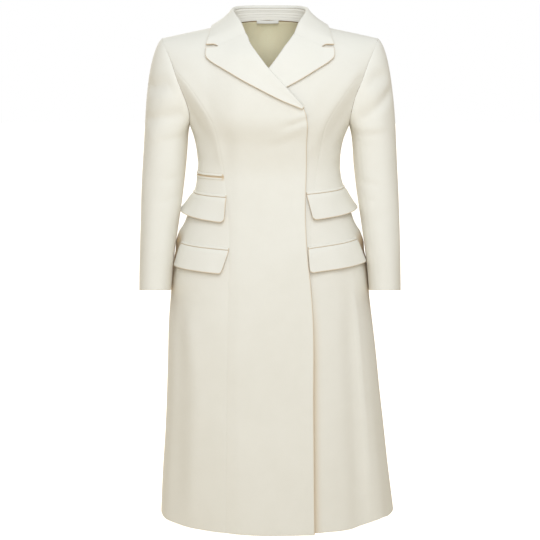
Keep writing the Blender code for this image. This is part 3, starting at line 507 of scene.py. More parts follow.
# The cloths' colours run from one of these shares of their own to the other
WOOL_SHADES = ((0.94, 0.932, 0.905), (1.06, 1.06, 1.07))
LINING_SHADES = ((0.95, 0.945, 0.91), (1.12, 1.12, 1.14))
LINING_RIB = 0.0007
Grain = namedtuple("Grain", "scale detail roughness")
NAP = Grain(2600.0, 3.0, 0.6)
CLUMPS = Grain(420.0, 3.0, 0.55)
SLUBS = Grain(900.0, 3.0, 0.6)
MOTTLE = Grain(26.0, 4.0, 0.55)
DRIFT = Grain(5.0, 2.0, 0.5)
LINING_SLUBS = Grain(300.0, 2.0, 0.5)
LINING_MOTTLE = Grain(30.0, 3.0, 0.5)
FLOOR_CLOUDS = Grain(3.0, 2.0, 0.5)
FLOOR_SHADES = ((0.76, 0.65, 0.48), (0.79, 0.68, 0.51))
FLOOR_SIZE = 30.0

# Lights and camera
Lamp = namedtuple("Lamp", "name place aim size")
KEY_LIGHT = Lamp("key_light", (0.15, -1.85, 1.18), (0.0, 0.0, -0.35), 1.5)
FRONT_LIGHT = Lamp("front_light", (0.0, -2.4, 0.10), (0.0, 0.0, 0.50), 1.2)
BACK_LIGHT = Lamp("back_light", (-1.5, 3.0, 0.9), (0.0, 0.0, -0.45), 1.6)
CAMERA_AIM = -0.5375
CAMERA_SENSOR = 36.0
CAMERA_LENS = 110.0


# Curves and fields


def smooth(knots, values, at):
    """A smooth curve through a table's column, read at the given places."""
    knots, values = np.asarray(knots, float), np.asarray(values, float)
    at = np.clip(np.asarray(at, float), knots[0], knots[-1])
    slopes = np.gradient(values, knots)
    low = np.clip(np.searchsorted(knots, at, side="right") - 1, 0, len(knots) - 2)
    span = knots[low + 1] - knots[low]
    t = (at - knots[low]) / span
    return cubic(t, values[low], span * slopes[low], values[low + 1], span * slopes[low + 1])


def cubic(t, start, leave, end, arrive):
    """A curve from start to end by its directions at both, at shares t of the way."""
    return (
        (2 * t**3 - 3 * t**2 + 1) * start
        + (t**3 - 2 * t**2 + t) * leave
        + (3 * t**2 - 2 * t**3) * end
        + (t**3 - t**2) * arrive
    )


def bell(at):
    """One at zero, falling off to both sides."""
    return np.exp(-(at**2))


def column(table, name):
    return np.array([getattr(row, name) for row in table], float)


def read(table, name, height):
    """A column of a table that is ordered by height, at any height."""
    knots = column(table, "height")
    order = np.argsort(knots)
    return smooth(knots[order], column(table, name)[order], height)


def step(low, high, at):
    """Zero below low, one above high and smooth between them."""
    t = np.clip((np.asarray(at, float) - low) / (high - low), 0, 1)
    return t * t * (3 - 2 * t)


def mix(a, b, share):
    return np.asarray(a, float) * (1 - share) + np.asarray(b, float) * share


def unit(vectors):
    return vectors / np.maximum(np.linalg.norm(vectors, axis=-1, keepdims=True), 1e-12)


def turned(angle):
    """An angle brought between -180 and 180."""
    return (angle + 180) % 360 - 180


# The body's surface


def ridge_height(x, behind):
    """The top of the shoulders over a place across the body. It rises to the nape behind the neck."""
    slope = SHOULDER_SLOPE * (NECK_HALF - np.abs(x))
    return slope + NAPE_RISE * np.clip(1 - (x / NECK_HALF) ** 2, 0, 1) * behind


def flutes(angle, height):
    total = np.zeros_like(height)
    for flute in FLUTES:
        share = np.clip((flute.top - height) / (flute.top - HEM_HEIGHT), 0, 1)
        total += flute.reach * share**FLUTE_GROWTH * bell(turned(angle - flute.angle) / flute.width)
    return total


def body_skin(angle, height):
    """Points of the body's plain surface."""
    angle, height = np.broadcast_arrays(np.asarray(angle, float), np.asarray(height, float))
    sine, cosine = np.sin(np.radians(angle)), np.cos(np.radians(angle))
    half = np.where(sine < 0, read(BODY, "right_half", height), read(BODY, "left_half", height))
    depth = np.where(cosine > 0, read(BODY, "front", height), read(BODY, "back", height))
    power = 2 / read(BODY, "squareness", height)
    swell = flutes(angle, height)
    x = np.sign(sine) * half * np.abs(sine) ** power + swell * sine
    y = -np.sign(cosine) * depth * np.abs(cosine) ** power - swell * cosine
    rise = (height - UNDERARM_HEIGHT) / (ridge_height(x, cosine < 0) - UNDERARM_HEIGHT)
    y = y * np.sqrt(1 - np.clip(rise, 0, 1) ** 2)
    return np.stack([x, y, height], -1)


def body_normal(angle, height):
    turn, lift = 0.5, 0.001
    across = body_skin(angle + turn, height) - body_skin(angle - turn, height)
    up = body_skin(angle, height + lift) - body_skin(angle, height - lift)
    return unit(np.cross(across, up))


def creased(place, height, creases, arm):
    """The sum of a table's creases at places given by an angle and a height."""
    total = np.zeros_like(height)
    for crease in creases:
        run = np.radians(crease.to_angle - crease.from_angle) * arm
        climb = crease.to_height - crease.from_height
        length = math.hypot(run, climb)
        off = np.radians(turned(place - crease.from_angle)) * arm
        up = height - crease.from_height
        along = (off * run + up * climb) / length**2
        aside = (off * climb - up * run) / length
        past = np.clip(np.abs(along - 0.5) - CREASE_PLATEAU, 0, None)
        total += crease.depth * bell(past / CREASE_TAPER) * bell(aside / crease.width)
    return total


def waves(table, angle, height, side=1):
    """The sum of a table's waves. The two sleeves have them at opposite phases."""
    a = np.radians(angle)
    return sum(
        wave.share * np.sin(wave.round * a + wave.climb * height + wave.phase * side) for wave in table
    )


def relief(angle, height):
    """Creases and waviness of the body, which fade out towards the shoulder seams."""
    angle, height = np.broadcast_arrays(np.asarray(angle, float), np.asarray(height, float))
    x = body_skin(angle, height)[..., 0]
    behind = np.cos(np.radians(angle)) < 0
    rise = (height - UNDERARM_HEIGHT) / (ridge_height(x, behind) - UNDERARM_HEIGHT)
    shape = coat_look().crease_strength * creased(angle, height, BODY_CREASES, CREASE_ARM)
    wavy = UNEVENNESS * waves(WAVES, angle, height)
    return (shape + wavy) * (1 - step(*RIDGE_FADE, rise))


def coat_skin(angle, height, offset=0.0):
    """(points, normals) of the body with its creases, moved out by an offset."""
    normals = body_normal(angle, height)
    reach = relief(angle, height) + offset
    return body_skin(angle, height) + normals * reach[..., None], normals


def hem_shift(angle, height):
    """How far the hem's own line moves a place on the body up or down."""
    share = np.clip((HEM_SETTLE_HEIGHT - height) / (HEM_SETTLE_HEIGHT - HEM_HEIGHT), 0, 1)
    return smooth(column(HEM_LINE, "angle"), column(HEM_LINE, "rise"), angle) * share**2


def front_angle(x, height):
    """The angle of a point of the front surface from its place across the body."""
    x, height = np.broadcast_arrays(np.asarray(x, float), np.asarray(height, float))
    half = np.where(x < 0, read(BODY, "right_half", height), read(BODY, "left_half", height))
    share = np.clip(np.abs(x) / half, 0, 1) ** (read(BODY, "squareness", height) / 2)
    return np.sign(x) * np.degrees(np.arcsin(share))


def overlap_rise(x, height):
    """How far the right front stands off the body where it crosses the left front and the left lapel."""
    cloth = OVERLAP_RISE * step(*OVERLAP_RAMP, x)
    lapel = LAPEL_UNDER_RISE * step(*LAPEL_RAMP, x) * step(*LAPEL_RISE_HEIGHTS, height)
    return (cloth + lapel) * (1 - step(*OVERLAP_FADE_HEIGHTS, height))


def right_front_rise(x, height):
    """The right front's rise, with its free edge standing off a little more from the waist down."""
    edge = read(FRONT_EDGE, "half", np.minimum(height, BREAK_HEIGHT))
    near = step(edge - OVERLAP_EDGE_REACH, edge, x) * (1 - step(*OVERLAP_LIFT_FADE, height))
    return overlap_rise(x, height) + OVERLAP_EDGE_LIFT * near


# Grids of points and walls of cloth


def stops(length, first, last, spacing):
    """Shares of a length for rows of points: as the edges need at both ends, evenly spaced between."""
    head = np.array(EDGE_STEPS[first])
    tail = np.array(EDGE_STEPS[last])
    room = EDGE_ROOM * length / max(head[-1] + tail[-1], 1e-9)
    head, tail = head * min(1, room), tail * min(1, room)
    low, high = head[-1], length - tail[-1]
    middle = np.linspace(low, high, max(2, round((high - low) / spacing) + 1))
    return np.concatenate([head[:-1], middle, (length - tail[:-1])[::-1]]) / length


def run_lengths(points):
    """Lengths along the first axis of an array of points."""
    return np.concatenate([[0], np.cumsum(np.linalg.norm(np.diff(points, axis=0), axis=-1))])


def even_rows(points_at, last_row, first, last, spacing):
    """Row positions from 0 to last_row that are evenly spaced over the surface."""
    dense = np.linspace(0, last_row, 500)
    length = run_lengths(points_at(dense))
    return np.interp(stops(length[-1], first, last, spacing) * length[-1], length, dense)


def edge_distances(grid):
    """How far each point of a grid lies from each of its four edges, along the grid."""
    rows = np.linalg.norm(np.diff(grid, axis=0), axis=-1)
    columns = np.linalg.norm(np.diff(grid, axis=1), axis=-1)
    up = np.concatenate([np.zeros((1, grid.shape[1])), np.cumsum(rows, axis=0)])
    across = np.concatenate([np.zeros((grid.shape[0], 1)), np.cumsum(columns, axis=1)], axis=1)
    return {
        "first_row": up,
        "last_row": up[-1:] - up,
        "first_column": across,
        "last_column": across[:, -1:] - across,
    }


def drawn_in(grid, seams):
    """The grid with its sewn edges drawn in by half a seam gap."""
    grid = grid.copy()
    for edge in seams:
        rim, inside = {
            "first_row": (grid[0], grid[1]),
            "last_row": (grid[-1], grid[-2]),
            "first_column": (grid[:, 0], grid[:, 1]),
            "last_column": (grid[:, -1], grid[:, -2]),
        }[edge]
        rim += unit(inside - rim) * SEAM_GAP / 2
    return grid


def shaped_edges(outer, inner, edges):
    """Free edges rounded like folded cloth and sewn edges sunk into their seam."""
    distance = edge_distances(outer)
    middle, half = (outer + inner) / 2, (outer - inner) / 2
    thickness = 2 * np.linalg.norm(half, axis=-1)
    fullness = np.ones(outer.shape[:2])
    dip = np.zeros(outer.shape[:2])
    for edge, (kind, share) in edges.items():
        if kind in ("free", "hem"):
            near = np.clip(distance[edge] / (thickness * FREE_EDGE_ROUND), 0, 1)
            rounded = np.maximum(np.sqrt(1 - (1 - near) ** 2), FREE_EDGE_LEAST)
            fullness = np.minimum(fullness, 1 - share * (1 - rounded))
        elif kind == "seam":
            dip = np.maximum(dip, share * SEAM_DIP * bell(distance[edge] / SEAM_SPREAD))
    middle = middle - unit(half) * dip[..., None]
    half = half * fullness[..., None]
    return middle + half, middle - half


def rim_shade_share(grid, edges, weights):
    """How much painted shade each point takes from lying near a free edge, from 1 on the edge to 0 inside.

    Weights lessen it for the edges that they name.
    """
    distance = edge_distances(grid)
    near = np.zeros(grid.shape[:2])
    for edge, (kind, share) in edges.items():
        if kind == "free":
            share = share * weights.get(edge, 1.0)
            near = np.maximum(near, share * bell(distance[edge] / RIM_SHADE_SPREAD))
    return near


def wall_mesh(name, outer, inner):
    """A closed wall between two grids, with a UV map in metres along its grain."""
    rows, columns = outer.shape[:2]
    count = rows * columns
    number = np.arange(count).reshape(rows, columns)
    corners = [number[:-1, :-1], number[:-1, 1:], number[1:, 1:], number[1:, :-1]]
    quads = np.stack(corners, -1).reshape(-1, 4)
    rim = np.array([*number[0], *number[1:, -1], *number[-1, -2::-1], *number[-2:0:-1, 0]])
    following = np.roll(rim, -1)
    closing = np.stack([following, rim, rim + count, following + count], -1)
    faces = np.concatenate([quads, quads[:, ::-1] + count, closing])
    across = outer[:-1, 1:] - outer[:-1, :-1]
    along = outer[1:, :-1] - outer[:-1, :-1]
    if (np.cross(across, along) * (outer - inner)[:-1, :-1]).sum() < 0:
        faces = faces[:, ::-1]
    mesh = bpy.data.meshes.new(name)
    points = np.concatenate([outer.reshape(-1, 3), inner.reshape(-1, 3)])
    mesh.from_pydata(points.tolist(), [], faces.tolist())
    mesh.update()
    weave = np.concatenate([weave_map(outer).reshape(-1, 2)] * 2)
    loops = np.empty(len(mesh.loops), dtype=np.int32)
    mesh.loops.foreach_get("vertex_index", loops)
    layer = mesh.uv_layers.new(name="weave")
    layer.data.foreach_set("uv", weave[loops].astype(np.float32).ravel())
    mesh.shade_smooth()
    mesh.set_sharp_from_angle(angle=math.radians(SHARP_ANGLE))
    return mesh


def cloth_piece(name, outer, inner, edges, painted_shade=0.0, rim_shade_weights=None):
    """(piece, flat size, flat area) of one wall of cloth as an object of its own.

    The painted shade is the share of the reverse's tone painted on the outer side as shade; painted shade
    along free edges is added to it, weighed by the rim shade weights.
    """
    edges = {edge: (kind, 1.0) if isinstance(kind, str) else kind for edge, kind in edges.items()}
    seams = [edge for edge, (kind, _) in edges.items() if kind == "seam"]
    flat_area = grid_area(outer)
    outer, inner = shaped_edges(drawn_in(outer, seams), drawn_in(inner, seams), edges)
    mesh = wall_mesh(f"{name}_cloth", outer, inner)
    # painted shade on the outer face along free edges and in gaps; the inner face takes the reverse's own
    # colour
    painted_outer_shade = np.maximum(RIM_SHADE * rim_shade_share(outer, edges, rim_shade_weights or {}), painted_shade).ravel()
    inside = np.full(painted_outer_shade.size, 0.0 if name == "hanger_loop" else 1.0)
    reverse = mesh.attributes.new("reverse", "FLOAT", "POINT")
    reverse.data.foreach_set("value", np.concatenate([painted_outer_shade, inside]).astype(np.float32))
    slot = "lining" if name == "back_lining" else "wool"
    mesh.materials.append(cloth_material(slot))
    piece = bpy.data.objects.new(f"{name}_cloth", mesh)
    bpy.context.scene.collection.objects.link(piece)
    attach(piece, "root")
    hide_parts(name)
    return piece, (longest_run(outer, 1), longest_run(outer, 0)), flat_area


def longest_run(grid, axis):
    """The length of a grid's longest row or column, to the millimetre."""
    return round(float(np.linalg.norm(np.diff(grid, axis=axis), axis=-1).sum(axis=axis).max()), 3)


def grid_area(grid):
    """The area of a grid of points."""
    across = grid[:, 1:] - grid[:, :-1]
    along = grid[1:] - grid[:-1]
    return float(np.linalg.norm(np.cross(across[:-1], along[:, :-1]), axis=-1).sum())


def weave_map(grid):
    """Places on the cloth in metres, measured from the middle column so that the grain runs up it."""
    distance = edge_distances(grid)
    middle = grid.shape[1] // 2
    across = distance["first_column"] - distance["first_column"][:, middle : middle + 1]
    up = np.broadcast_to(distance["first_row"][:, middle : middle + 1], across.shape)
    return np.stack([across, up], -1)


def declare(made, rests_on=(), trims=()):
    """Returns a finished piece; the small strips that are sewn to it are not used."""
    piece, (width, length), area = made
    area = round(min(area, width * length), 5)
    return piece


def skin_piece(name, angle, height, offset, thickness, edges, ridge=None, painted_shade=0.0):
    """A wall that follows the body's surface. A row on the shoulder ridge is mitred to its neighbour."""
    outer, normals = coat_skin(angle, height, np.broadcast_to(np.asarray(offset, float), angle.shape))
    if ridge is not None:
        normals[-1, ridge, 1] = 0
        normals = unit(normals)
    thickness = np.broadcast_to(np.asarray(thickness, float), angle.shape)[..., None]
    return cloth_piece(name, outer, outer - normals * thickness, edges, painted_shade)


def sided(kind, side):
    """The name of a piece that both sides have."""
    return kind + ("_left" if side > 0 else "_right")


# Body panels


def princess_half(height):
    return read(PRINCESS_SEAM, "half", height)


def armhole(share, behind=False):
    """(angle, height) on the left armhole: share 0 is the shoulder tip, share 1 the underarm."""
    knots = np.linspace(0, 1, len(ARMHOLE))
    angles = column(ARMHOLE, "back_angle" if behind else "front_angle")
    return smooth(knots, angles, share), smooth(knots, column(ARMHOLE, "height"), share)


def heights_up_to(*top_heights):
    """Row heights from the hem: wide apart in the skirt, closer over the pockets and waist."""
    skirt = np.linspace(HEM_HEIGHT, POCKET_LEVEL, SKIRT_ROWS, endpoint=False)
    waist = np.linspace(POCKET_LEVEL, top_heights[0], WAIST_ROWS, endpoint=False)
    return np.concatenate([skirt, waist, top_heights])


PRINCESS_HEIGHTS = heights_up_to(-0.250, -0.215, -0.180, -0.150, -0.120, PRINCESS_TOP_HEIGHT)
FRONT_EDGE_HEIGHTS = heights_up_to(-0.250, -0.232, -0.215, -0.200, -0.186, BREAK_HEIGHT)
SIDE_SEAM_HEIGHTS = heights_up_to(-0.272, -0.262, -0.252, -0.242, -0.231, UNDERARM_HEIGHT)
BACK_SIDE_HEIGHTS = heights_up_to(-0.272, -0.245, UNDERARM_HEIGHT)
BACK_CENTRE_HEIGHTS = heights_up_to(-0.272, -0.238, -0.205)


def at_rows(heights, rows):
    """A list of row heights, read at any row position."""
    return smooth(np.arange(len(heights)), heights, rows)


def roll_half(side, height):
    """A front's roll line as a place across the body. Each leans a little to the wearer's right."""
    full_from, full_to = ROLL_LEAN_FULL_HEIGHTS
    lean = step(BREAK_HEIGHT, full_from, height) * (1 - step(full_to, GORGE_ROLL[1], height))
    return read(ROLL_LINE, "half", height) + ROLL_LEAN[side] * lean


def inner_edge(side, height):
    """The free edge of a front below the break point, as a place across the body."""
    if side < 0:
        return read(FRONT_EDGE, "half", height)
    run_in = step(UNDERLAP_RUN_IN, BREAK_HEIGHT, height)
    return -mix(-UNDERLAP_EDGE, read(FRONT_EDGE, "half", height), run_in)


def front_places(side, rows, across):
    """(angles, heights) of a front, from the princess seam and armhole to the free edge and roll line."""
    base = len(PRINCESS_HEIGHTS) - 1
    outer_height = at_rows(PRINCESS_HEIGHTS, np.minimum(rows, base))
    inner_height = at_rows(FRONT_EDGE_HEIGHTS, np.minimum(rows, base))
    outer_angle = front_angle(side * princess_half(outer_height), outer_height)
    inner_angle = front_angle(inner_edge(side, inner_height), inner_height)
    share = np.sin(np.clip((rows - base) / FRONT_ARMHOLE_ROWS, 0, 1) * math.pi / 2)
    arm_angle, arm_height = armhole(PRINCESS_SHARE * (1 - share))
    roll_height = BREAK_HEIGHT * (1 - share)
    set_back = mix(BREAK_SET_BACK, ROLL_TO_CLOTH_EDGE * (1 - share), step(0, BREAK_SHARE, share))
    roll_x = -side * (roll_half(side, roll_height) - set_back)
    above = rows > base
    outer_angle = np.where(above, side * arm_angle, outer_angle)[:, None]
    outer_height = np.where(above, arm_height, outer_height)[:, None]
    inner_angle = np.where(above, front_angle(roll_x, roll_height), inner_angle)[:, None]
    inner_height = np.where(above, roll_height, inner_height)[:, None]
    angle, height = mix(outer_angle, inner_angle, across), mix(outer_height, inner_height, across)
    x = body_skin(angle, height)[..., 0]
    height = np.minimum(height, ridge_height(x, False)) + hem_shift(angle, height)
    if side < 0:
        at_hem = step(0, OVERLAP_HEM_SHARE, across) * np.clip(1 - rows, 0, 1)[:, None]
        height = height - OVERLAP_HEM_DROP * at_hem
    return angle, height


def side_front_places(side, rows, across):
    """(angles, heights) of a side front, from the princess seam to the side seam."""
    last = len(PRINCESS_HEIGHTS) - 1
    seam_height = at_rows(PRINCESS_HEIGHTS, rows)[:, None]
    side_height = at_rows(SIDE_SEAM_HEIGHTS, rows)[:, None]
    seam_angle = np.abs(front_angle(side * princess_half(seam_height), seam_height))
    angle, height = mix(seam_angle, 90.0, across), mix(seam_height, side_height, across)
    top_angle, top_height = armhole(mix(PRINCESS_SHARE, 1.0, across))
    end_angle = np.abs(front_angle(side * princess_half(PRINCESS_TOP_HEIGHT), PRINCESS_TOP_HEIGHT))
    settle = np.clip(rows - (last - SETTLE_ROWS), 0, SETTLE_ROWS)[:, None] / SETTLE_ROWS
    angle = angle + settle * (top_angle - mix(end_angle, 90.0, across))
    height = height + settle * (top_height - mix(PRINCESS_TOP_HEIGHT, UNDERARM_HEIGHT, across))
    return side * angle, height + hem_shift(side * angle, height)


def back_neckline(turn):
    """(angle, height) of the back neck seam: turn 0 is the side neck point, turn 90 the nape."""
    x = NECK_HALF * np.cos(np.radians(turn))
    y = NAPE_DEPTH * np.sin(np.radians(turn))
    angle = 180 - front_angle(x, np.zeros_like(x))
    power = 2 / read(BODY, "squareness", 0.0)
    reach = read(BODY, "back", 0.0) * np.abs(np.cos(np.radians(angle))) ** power
    top = ridge_height(x, True)
    return angle, UNDERARM_HEIGHT + (top - UNDERARM_HEIGHT) * np.sqrt(1 - (y / reach) ** 2)


def back_top(across):
    """(angles, heights) along the shoulder seam and the back neck seam."""
    shoulder_x = mix(SHOULDER_TIP_HALF, NECK_HALF, np.clip(across / BACK_SHOULDER_SHARE, 0, 1))
    shoulder_height = ridge_height(shoulder_x, True)
    shoulder_angle = 180 - front_angle(shoulder_x, shoulder_height)
    turn = 90 * np.clip((across - BACK_SHOULDER_SHARE) / (1 - BACK_SHOULDER_SHARE), 0, 1)
    neck_angle, neck_height = back_neckline(turn)
    on_neck = across > BACK_SHOULDER_SHARE
    return np.where(on_neck, neck_angle, shoulder_angle), np.where(on_neck, neck_height, shoulder_height)


def back_places(side, rows, across):
    """(angles, heights) of half the back, from the side seam and armhole to the centre back seam."""
    base = len(BACK_SIDE_HEIGHTS) - 1
    share = np.sin(np.clip((rows - base) / BACK_ARMHOLE_ROWS, 0, 1) * math.pi / 2)
    above = rows > base
    arm_angle, arm_height = armhole(1 - share, behind=True)
    top_angle, top_height = back_top(across)
    outer_angle = np.where(above, arm_angle, 90.0)[:, None]
    outer_height = np.where(above, arm_height, at_rows(BACK_SIDE_HEIGHTS, np.minimum(rows, base)))[:, None]
    centre = at_rows(BACK_CENTRE_HEIGHTS, np.minimum(rows, base))
    inner_height = np.where(above, mix(BACK_CENTRE_HEIGHTS[-1], top_height[-1], share), centre)[:, None]
    angle, height = mix(outer_angle, 180.0, across), mix(outer_height, inner_height, across)
    settle = (share**3)[:, None]
    angle = angle + settle * (top_angle - mix(ARMHOLE[0].back_angle, 180.0, across))
    height = height + settle * (top_height - mix(ARMHOLE[0].height, top_height[-1], across))
    return side * angle, height + hem_shift(side * angle, height)


def gap_shade(name, angle, height):
    """The painted shade of a body panel, where shadow falls: beside the cuffs, in the ticket pocket's slit
    and under the overlap's edge.
    """
    aside = (np.abs(turned(angle)) - HIP_SHADE_ANGLE) / HIP_SHADE_SPREAD
    painted_shade = HIP_SHADE * bell(aside) * step(*HIP_SHADE_START, height) * (1 - step(*HIP_SHADE_END, height))
    if name == "side_front_right":
        slit = TICKET_TOP - WELT_HEIGHT - TICKET_SLIT / 2
        shade = SLIT_SHADE * bell((height - slit) / SLIT_SHADE_SPREAD)
        painted_shade = np.maximum(painted_shade, shade * (-angle < TICKET_OUTER_ANGLE))
    if name in ("front_left", "side_front_left"):
        edge = read(FRONT_EDGE, "half", np.minimum(height, BREAK_HEIGHT))
        past = body_skin(angle, height)[..., 0] - edge
        shade = OVERLAP_SHADE * bell(past / OVERLAP_SHADE_SPREAD)
        painted_shade = np.maximum(painted_shade, shade * (1 - step(*OVERLAP_SHADE_END, height)))
    return painted_shade


def panel(side, kind, side_places, last_row, inner_end="seam", offset=None, ridge=None, trims=()):
    """One body panel on an even grid, from its outer seam to its inner end.

    side_places gives the angles and heights of a side's rows. The ridge is the share of the top row
    that lies on the shoulder.
    """
    name = sided(kind, side)
    spacing = coat_look().grid_spacing
    places = partial(side_places, side)

    def middle(rows):
        return body_skin(*places(rows, np.array([0.5])))[:, 0]

    rows = even_rows(middle, last_row, "hem", "seam", spacing)
    dense = np.linspace(0, 1, 200)
    width = run_lengths(body_skin(*places(np.array([last_row * WIDTH_ROW_SHARE]), dense))[0])[-1]
    across = stops(width, "seam", inner_end, spacing)
    angle, height = places(rows, across)
    edges = dict(zip(GRID_EDGES, ("hem", "seam", "seam", inner_end)))
    on_ridge = None if ridge is None else across <= ridge
    reach = offset(body_skin(angle, height)[..., 0], height) if offset else 0.0
    # painted shade in the panel's gaps
    painted_shade = gap_shade(name, angle, height)
    made = skin_piece(name, angle, height, reach, CLOTH, edges, on_ridge, painted_shade)
    return declare(made, trims=trims)


# Sleeves


def armhole_place(side, turn):
    """(angle, height) round the armhole: turn 0 is the shoulder tip, 90 the front, 180 the underarm."""
    turn = turn % 360
    share = (1 - np.cos(np.radians(turn))) / 2
    front_a, height = armhole(share)
    back_a, _ = armhole(share, behind=True)
    return side * np.where(turn <= 180, front_a, back_a), height


def armhole_loop(side, turn):
    """(points, body normals, directions out of the armhole's edge) round the armhole."""
    angle, height = armhole_place(side, turn)
    points, normals = coat_skin(angle, height)
    at_tip = (np.cos(np.radians(turn)) > 0.9999)[:, None]
    normals = unit(np.where(at_tip, normals * (1, 0, 1), normals))
    around = body_skin(*armhole_place(side, turn + 1)) - body_skin(*armhole_place(side, turn - 1))
    return points, normals, unit(side * np.cross(normals, around))


def sleeve_ring(side, turn, height):
    """Points of a sleeve ring: turn 0 faces away from the body, 90 faces front, 180 faces the body."""
    outer, inner = read(SLEEVE, "outer", height), read(SLEEVE, "inner", height)
    power = 2 / SLEEVE_SQUARENESS
    cosine, sine = np.cos(np.radians(turn)), np.sin(np.radians(turn))
    across = (outer + inner) / 2 + (outer - inner) / 2 * np.sign(cosine) * np.abs(cosine) ** power
    forward = -read(SLEEVE, "half_depth", height) * np.sign(sine) * np.abs(sine) ** power
    z = height - read(SLEEVE, "tilt", height) * forward
    return np.stack([side * across, read(SLEEVE, "centre_y", height) + forward, z + 0 * across], -1)


def sleeve_surface(side, turn, rows):
    """The sleeve's plain surface. Rows 0 to 1 go down the cap, and rows 1 to 2 from there to the cuff."""
    points, normals, out = armhole_loop(side, turn)
    start = points + unit(normals + out) * SEAM_GAP
    first, cuff = SLEEVE[0].height, SLEEVE[-1].height
    end = sleeve_ring(side, turn, first)
    near_tip = (1 + np.cos(np.radians(turn)))[:, None] / 2
    sine = np.sin(np.radians(turn))[:, None]
    tangent = mix(CAP_TANGENT_UNDERARM, CAP_TANGENT_TIP, near_tip)
    tangent = (tangent + sine**2 * (CAP_SIDE_OUT, 0, 0) - sine * (0, CAP_SIDE_SWELL, 0)) * (side, 1, 1)
    ahead = sleeve_ring(side, turn, first - 0.01) - end
    leave = unit(ahead) * np.linalg.norm(end - start, axis=-1, keepdims=True)
    t = np.clip(rows, 0, 1)[:, None, None]
    cap = cubic(t, start, tangent, end, leave)
    height = mix(first, cuff, np.clip(rows - 1, 0, 1))[:, None]
    return np.where((rows > 1)[:, None, None], sleeve_ring(side, turn[None, :], height), cap)


def sleeve_relief(side, turn, grid):
    """Creases of one sleeve at the points of its grid."""
    own = [BodyCrease(*crease[1:]) for crease in SLEEVE_CREASES if crease.side == side]
    height = grid[..., 2]
    place = np.broadcast_to(turn[None, :], height.shape)
    shape = coat_look().crease_strength * creased(place, height, own, SLEEVE_ARM)
    return shape + SLEEVE_UNEVENNESS * waves(SLEEVE_WAVES, place, height, side)


def sleeve(side, under):
    """The upper or the under sleeve."""
    spacing = coat_look().grid_spacing
    first, last = UNDER_SLEEVE_TO - 360, UNDER_SLEEVE_FROM
    if under:
        first, last = UNDER_SLEEVE_FROM, UNDER_SLEEVE_TO
    middle = np.array([(first + last) / 2])
    rows = even_rows(lambda at: sleeve_surface(side, middle, at)[:, 0], 2.0, "seam", "hem", spacing)
    dense = np.linspace(first, last, 300)
    ring = run_lengths(sleeve_ring(side, dense, SLEEVE[2].height))
    turn = np.interp(stops(ring[-1], "seam", "seam", spacing) * ring[-1], ring, dense)
    outer = sleeve_surface(side, turn, rows)
    across = sleeve_surface(side, turn + 2, rows) - sleeve_surface(side, turn - 2, rows)
    row_steps = np.linalg.norm(np.diff(outer, axis=0), axis=-1).mean(axis=1)
    lengths = np.concatenate([[0], np.cumsum(row_steps)])
    along = np.gradient(outer, lengths, axis=0)
    normals = side * unit(np.cross(across, along))
    fade = step(0.0, CAP_RELIEF_FADE, lengths)[:, None]
    outer = outer + normals * (sleeve_relief(side, turn, outer) * fade)[..., None]
    inward = -normals * CLOTH
    _, _, out = armhole_loop(side, turn)
    behind = np.minimum((inward * out[None]).sum(-1, keepdims=True), 0)
    inward = inward - bell(lengths / CAP_MITRE)[:, None, None] * behind * out[None]
    name = sided("under_sleeve" if under else "upper_sleeve", side)
    edges = dict(zip(GRID_EDGES, ("seam", "hem", "seam", "seam")))
    # painted shade on the side of the sleeve that faces the body
    painted_shade = SLEEVE_SHADE * bell(turned(turn - 180) / SLEEVE_SHADE_SPREAD)[None, :]
    return declare(cloth_piece(name, outer, outer + inward, edges, painted_shade))


# Lapels and collar


def lapel_stack(side, x, height):
    """How far a lapel's outer face stands off the body's surface."""
    under = overlap_rise(x, height) if side < 0 else 0.0
    return under + LAPEL_GAP + FOLDED_CLOTH


def lapel_outline(side, share):
    """(half, height) on the lapel's free edge and on its roll line, from the break point to the gorge."""
    knots = column(LAPEL_EDGE, "share")
    edge = np.stack([smooth(knots, column(LAPEL_EDGE, name), share) for name in ("half", "height")], -1)
    roll_height = mix(BREAK_HEIGHT, GORGE_ROLL[1], share)
    return edge, np.stack([roll_half(side, roll_height), roll_height], -1)


def gorge_line(across):
    """(half, height) along the gorge seam and the notch, from the roll line to the free edge."""
    knots = [0.0, NOTCH_INNER_SHARE, 1.0]
    last = LAPEL_EDGE[-1]
    half = np.interp(across, knots, [GORGE_ROLL[0], NOTCH_INNER[0], last.half])
    return np.stack([half, np.interp(across, knots, [GORGE_ROLL[1], NOTCH_INNER[1], last.height])], -1)


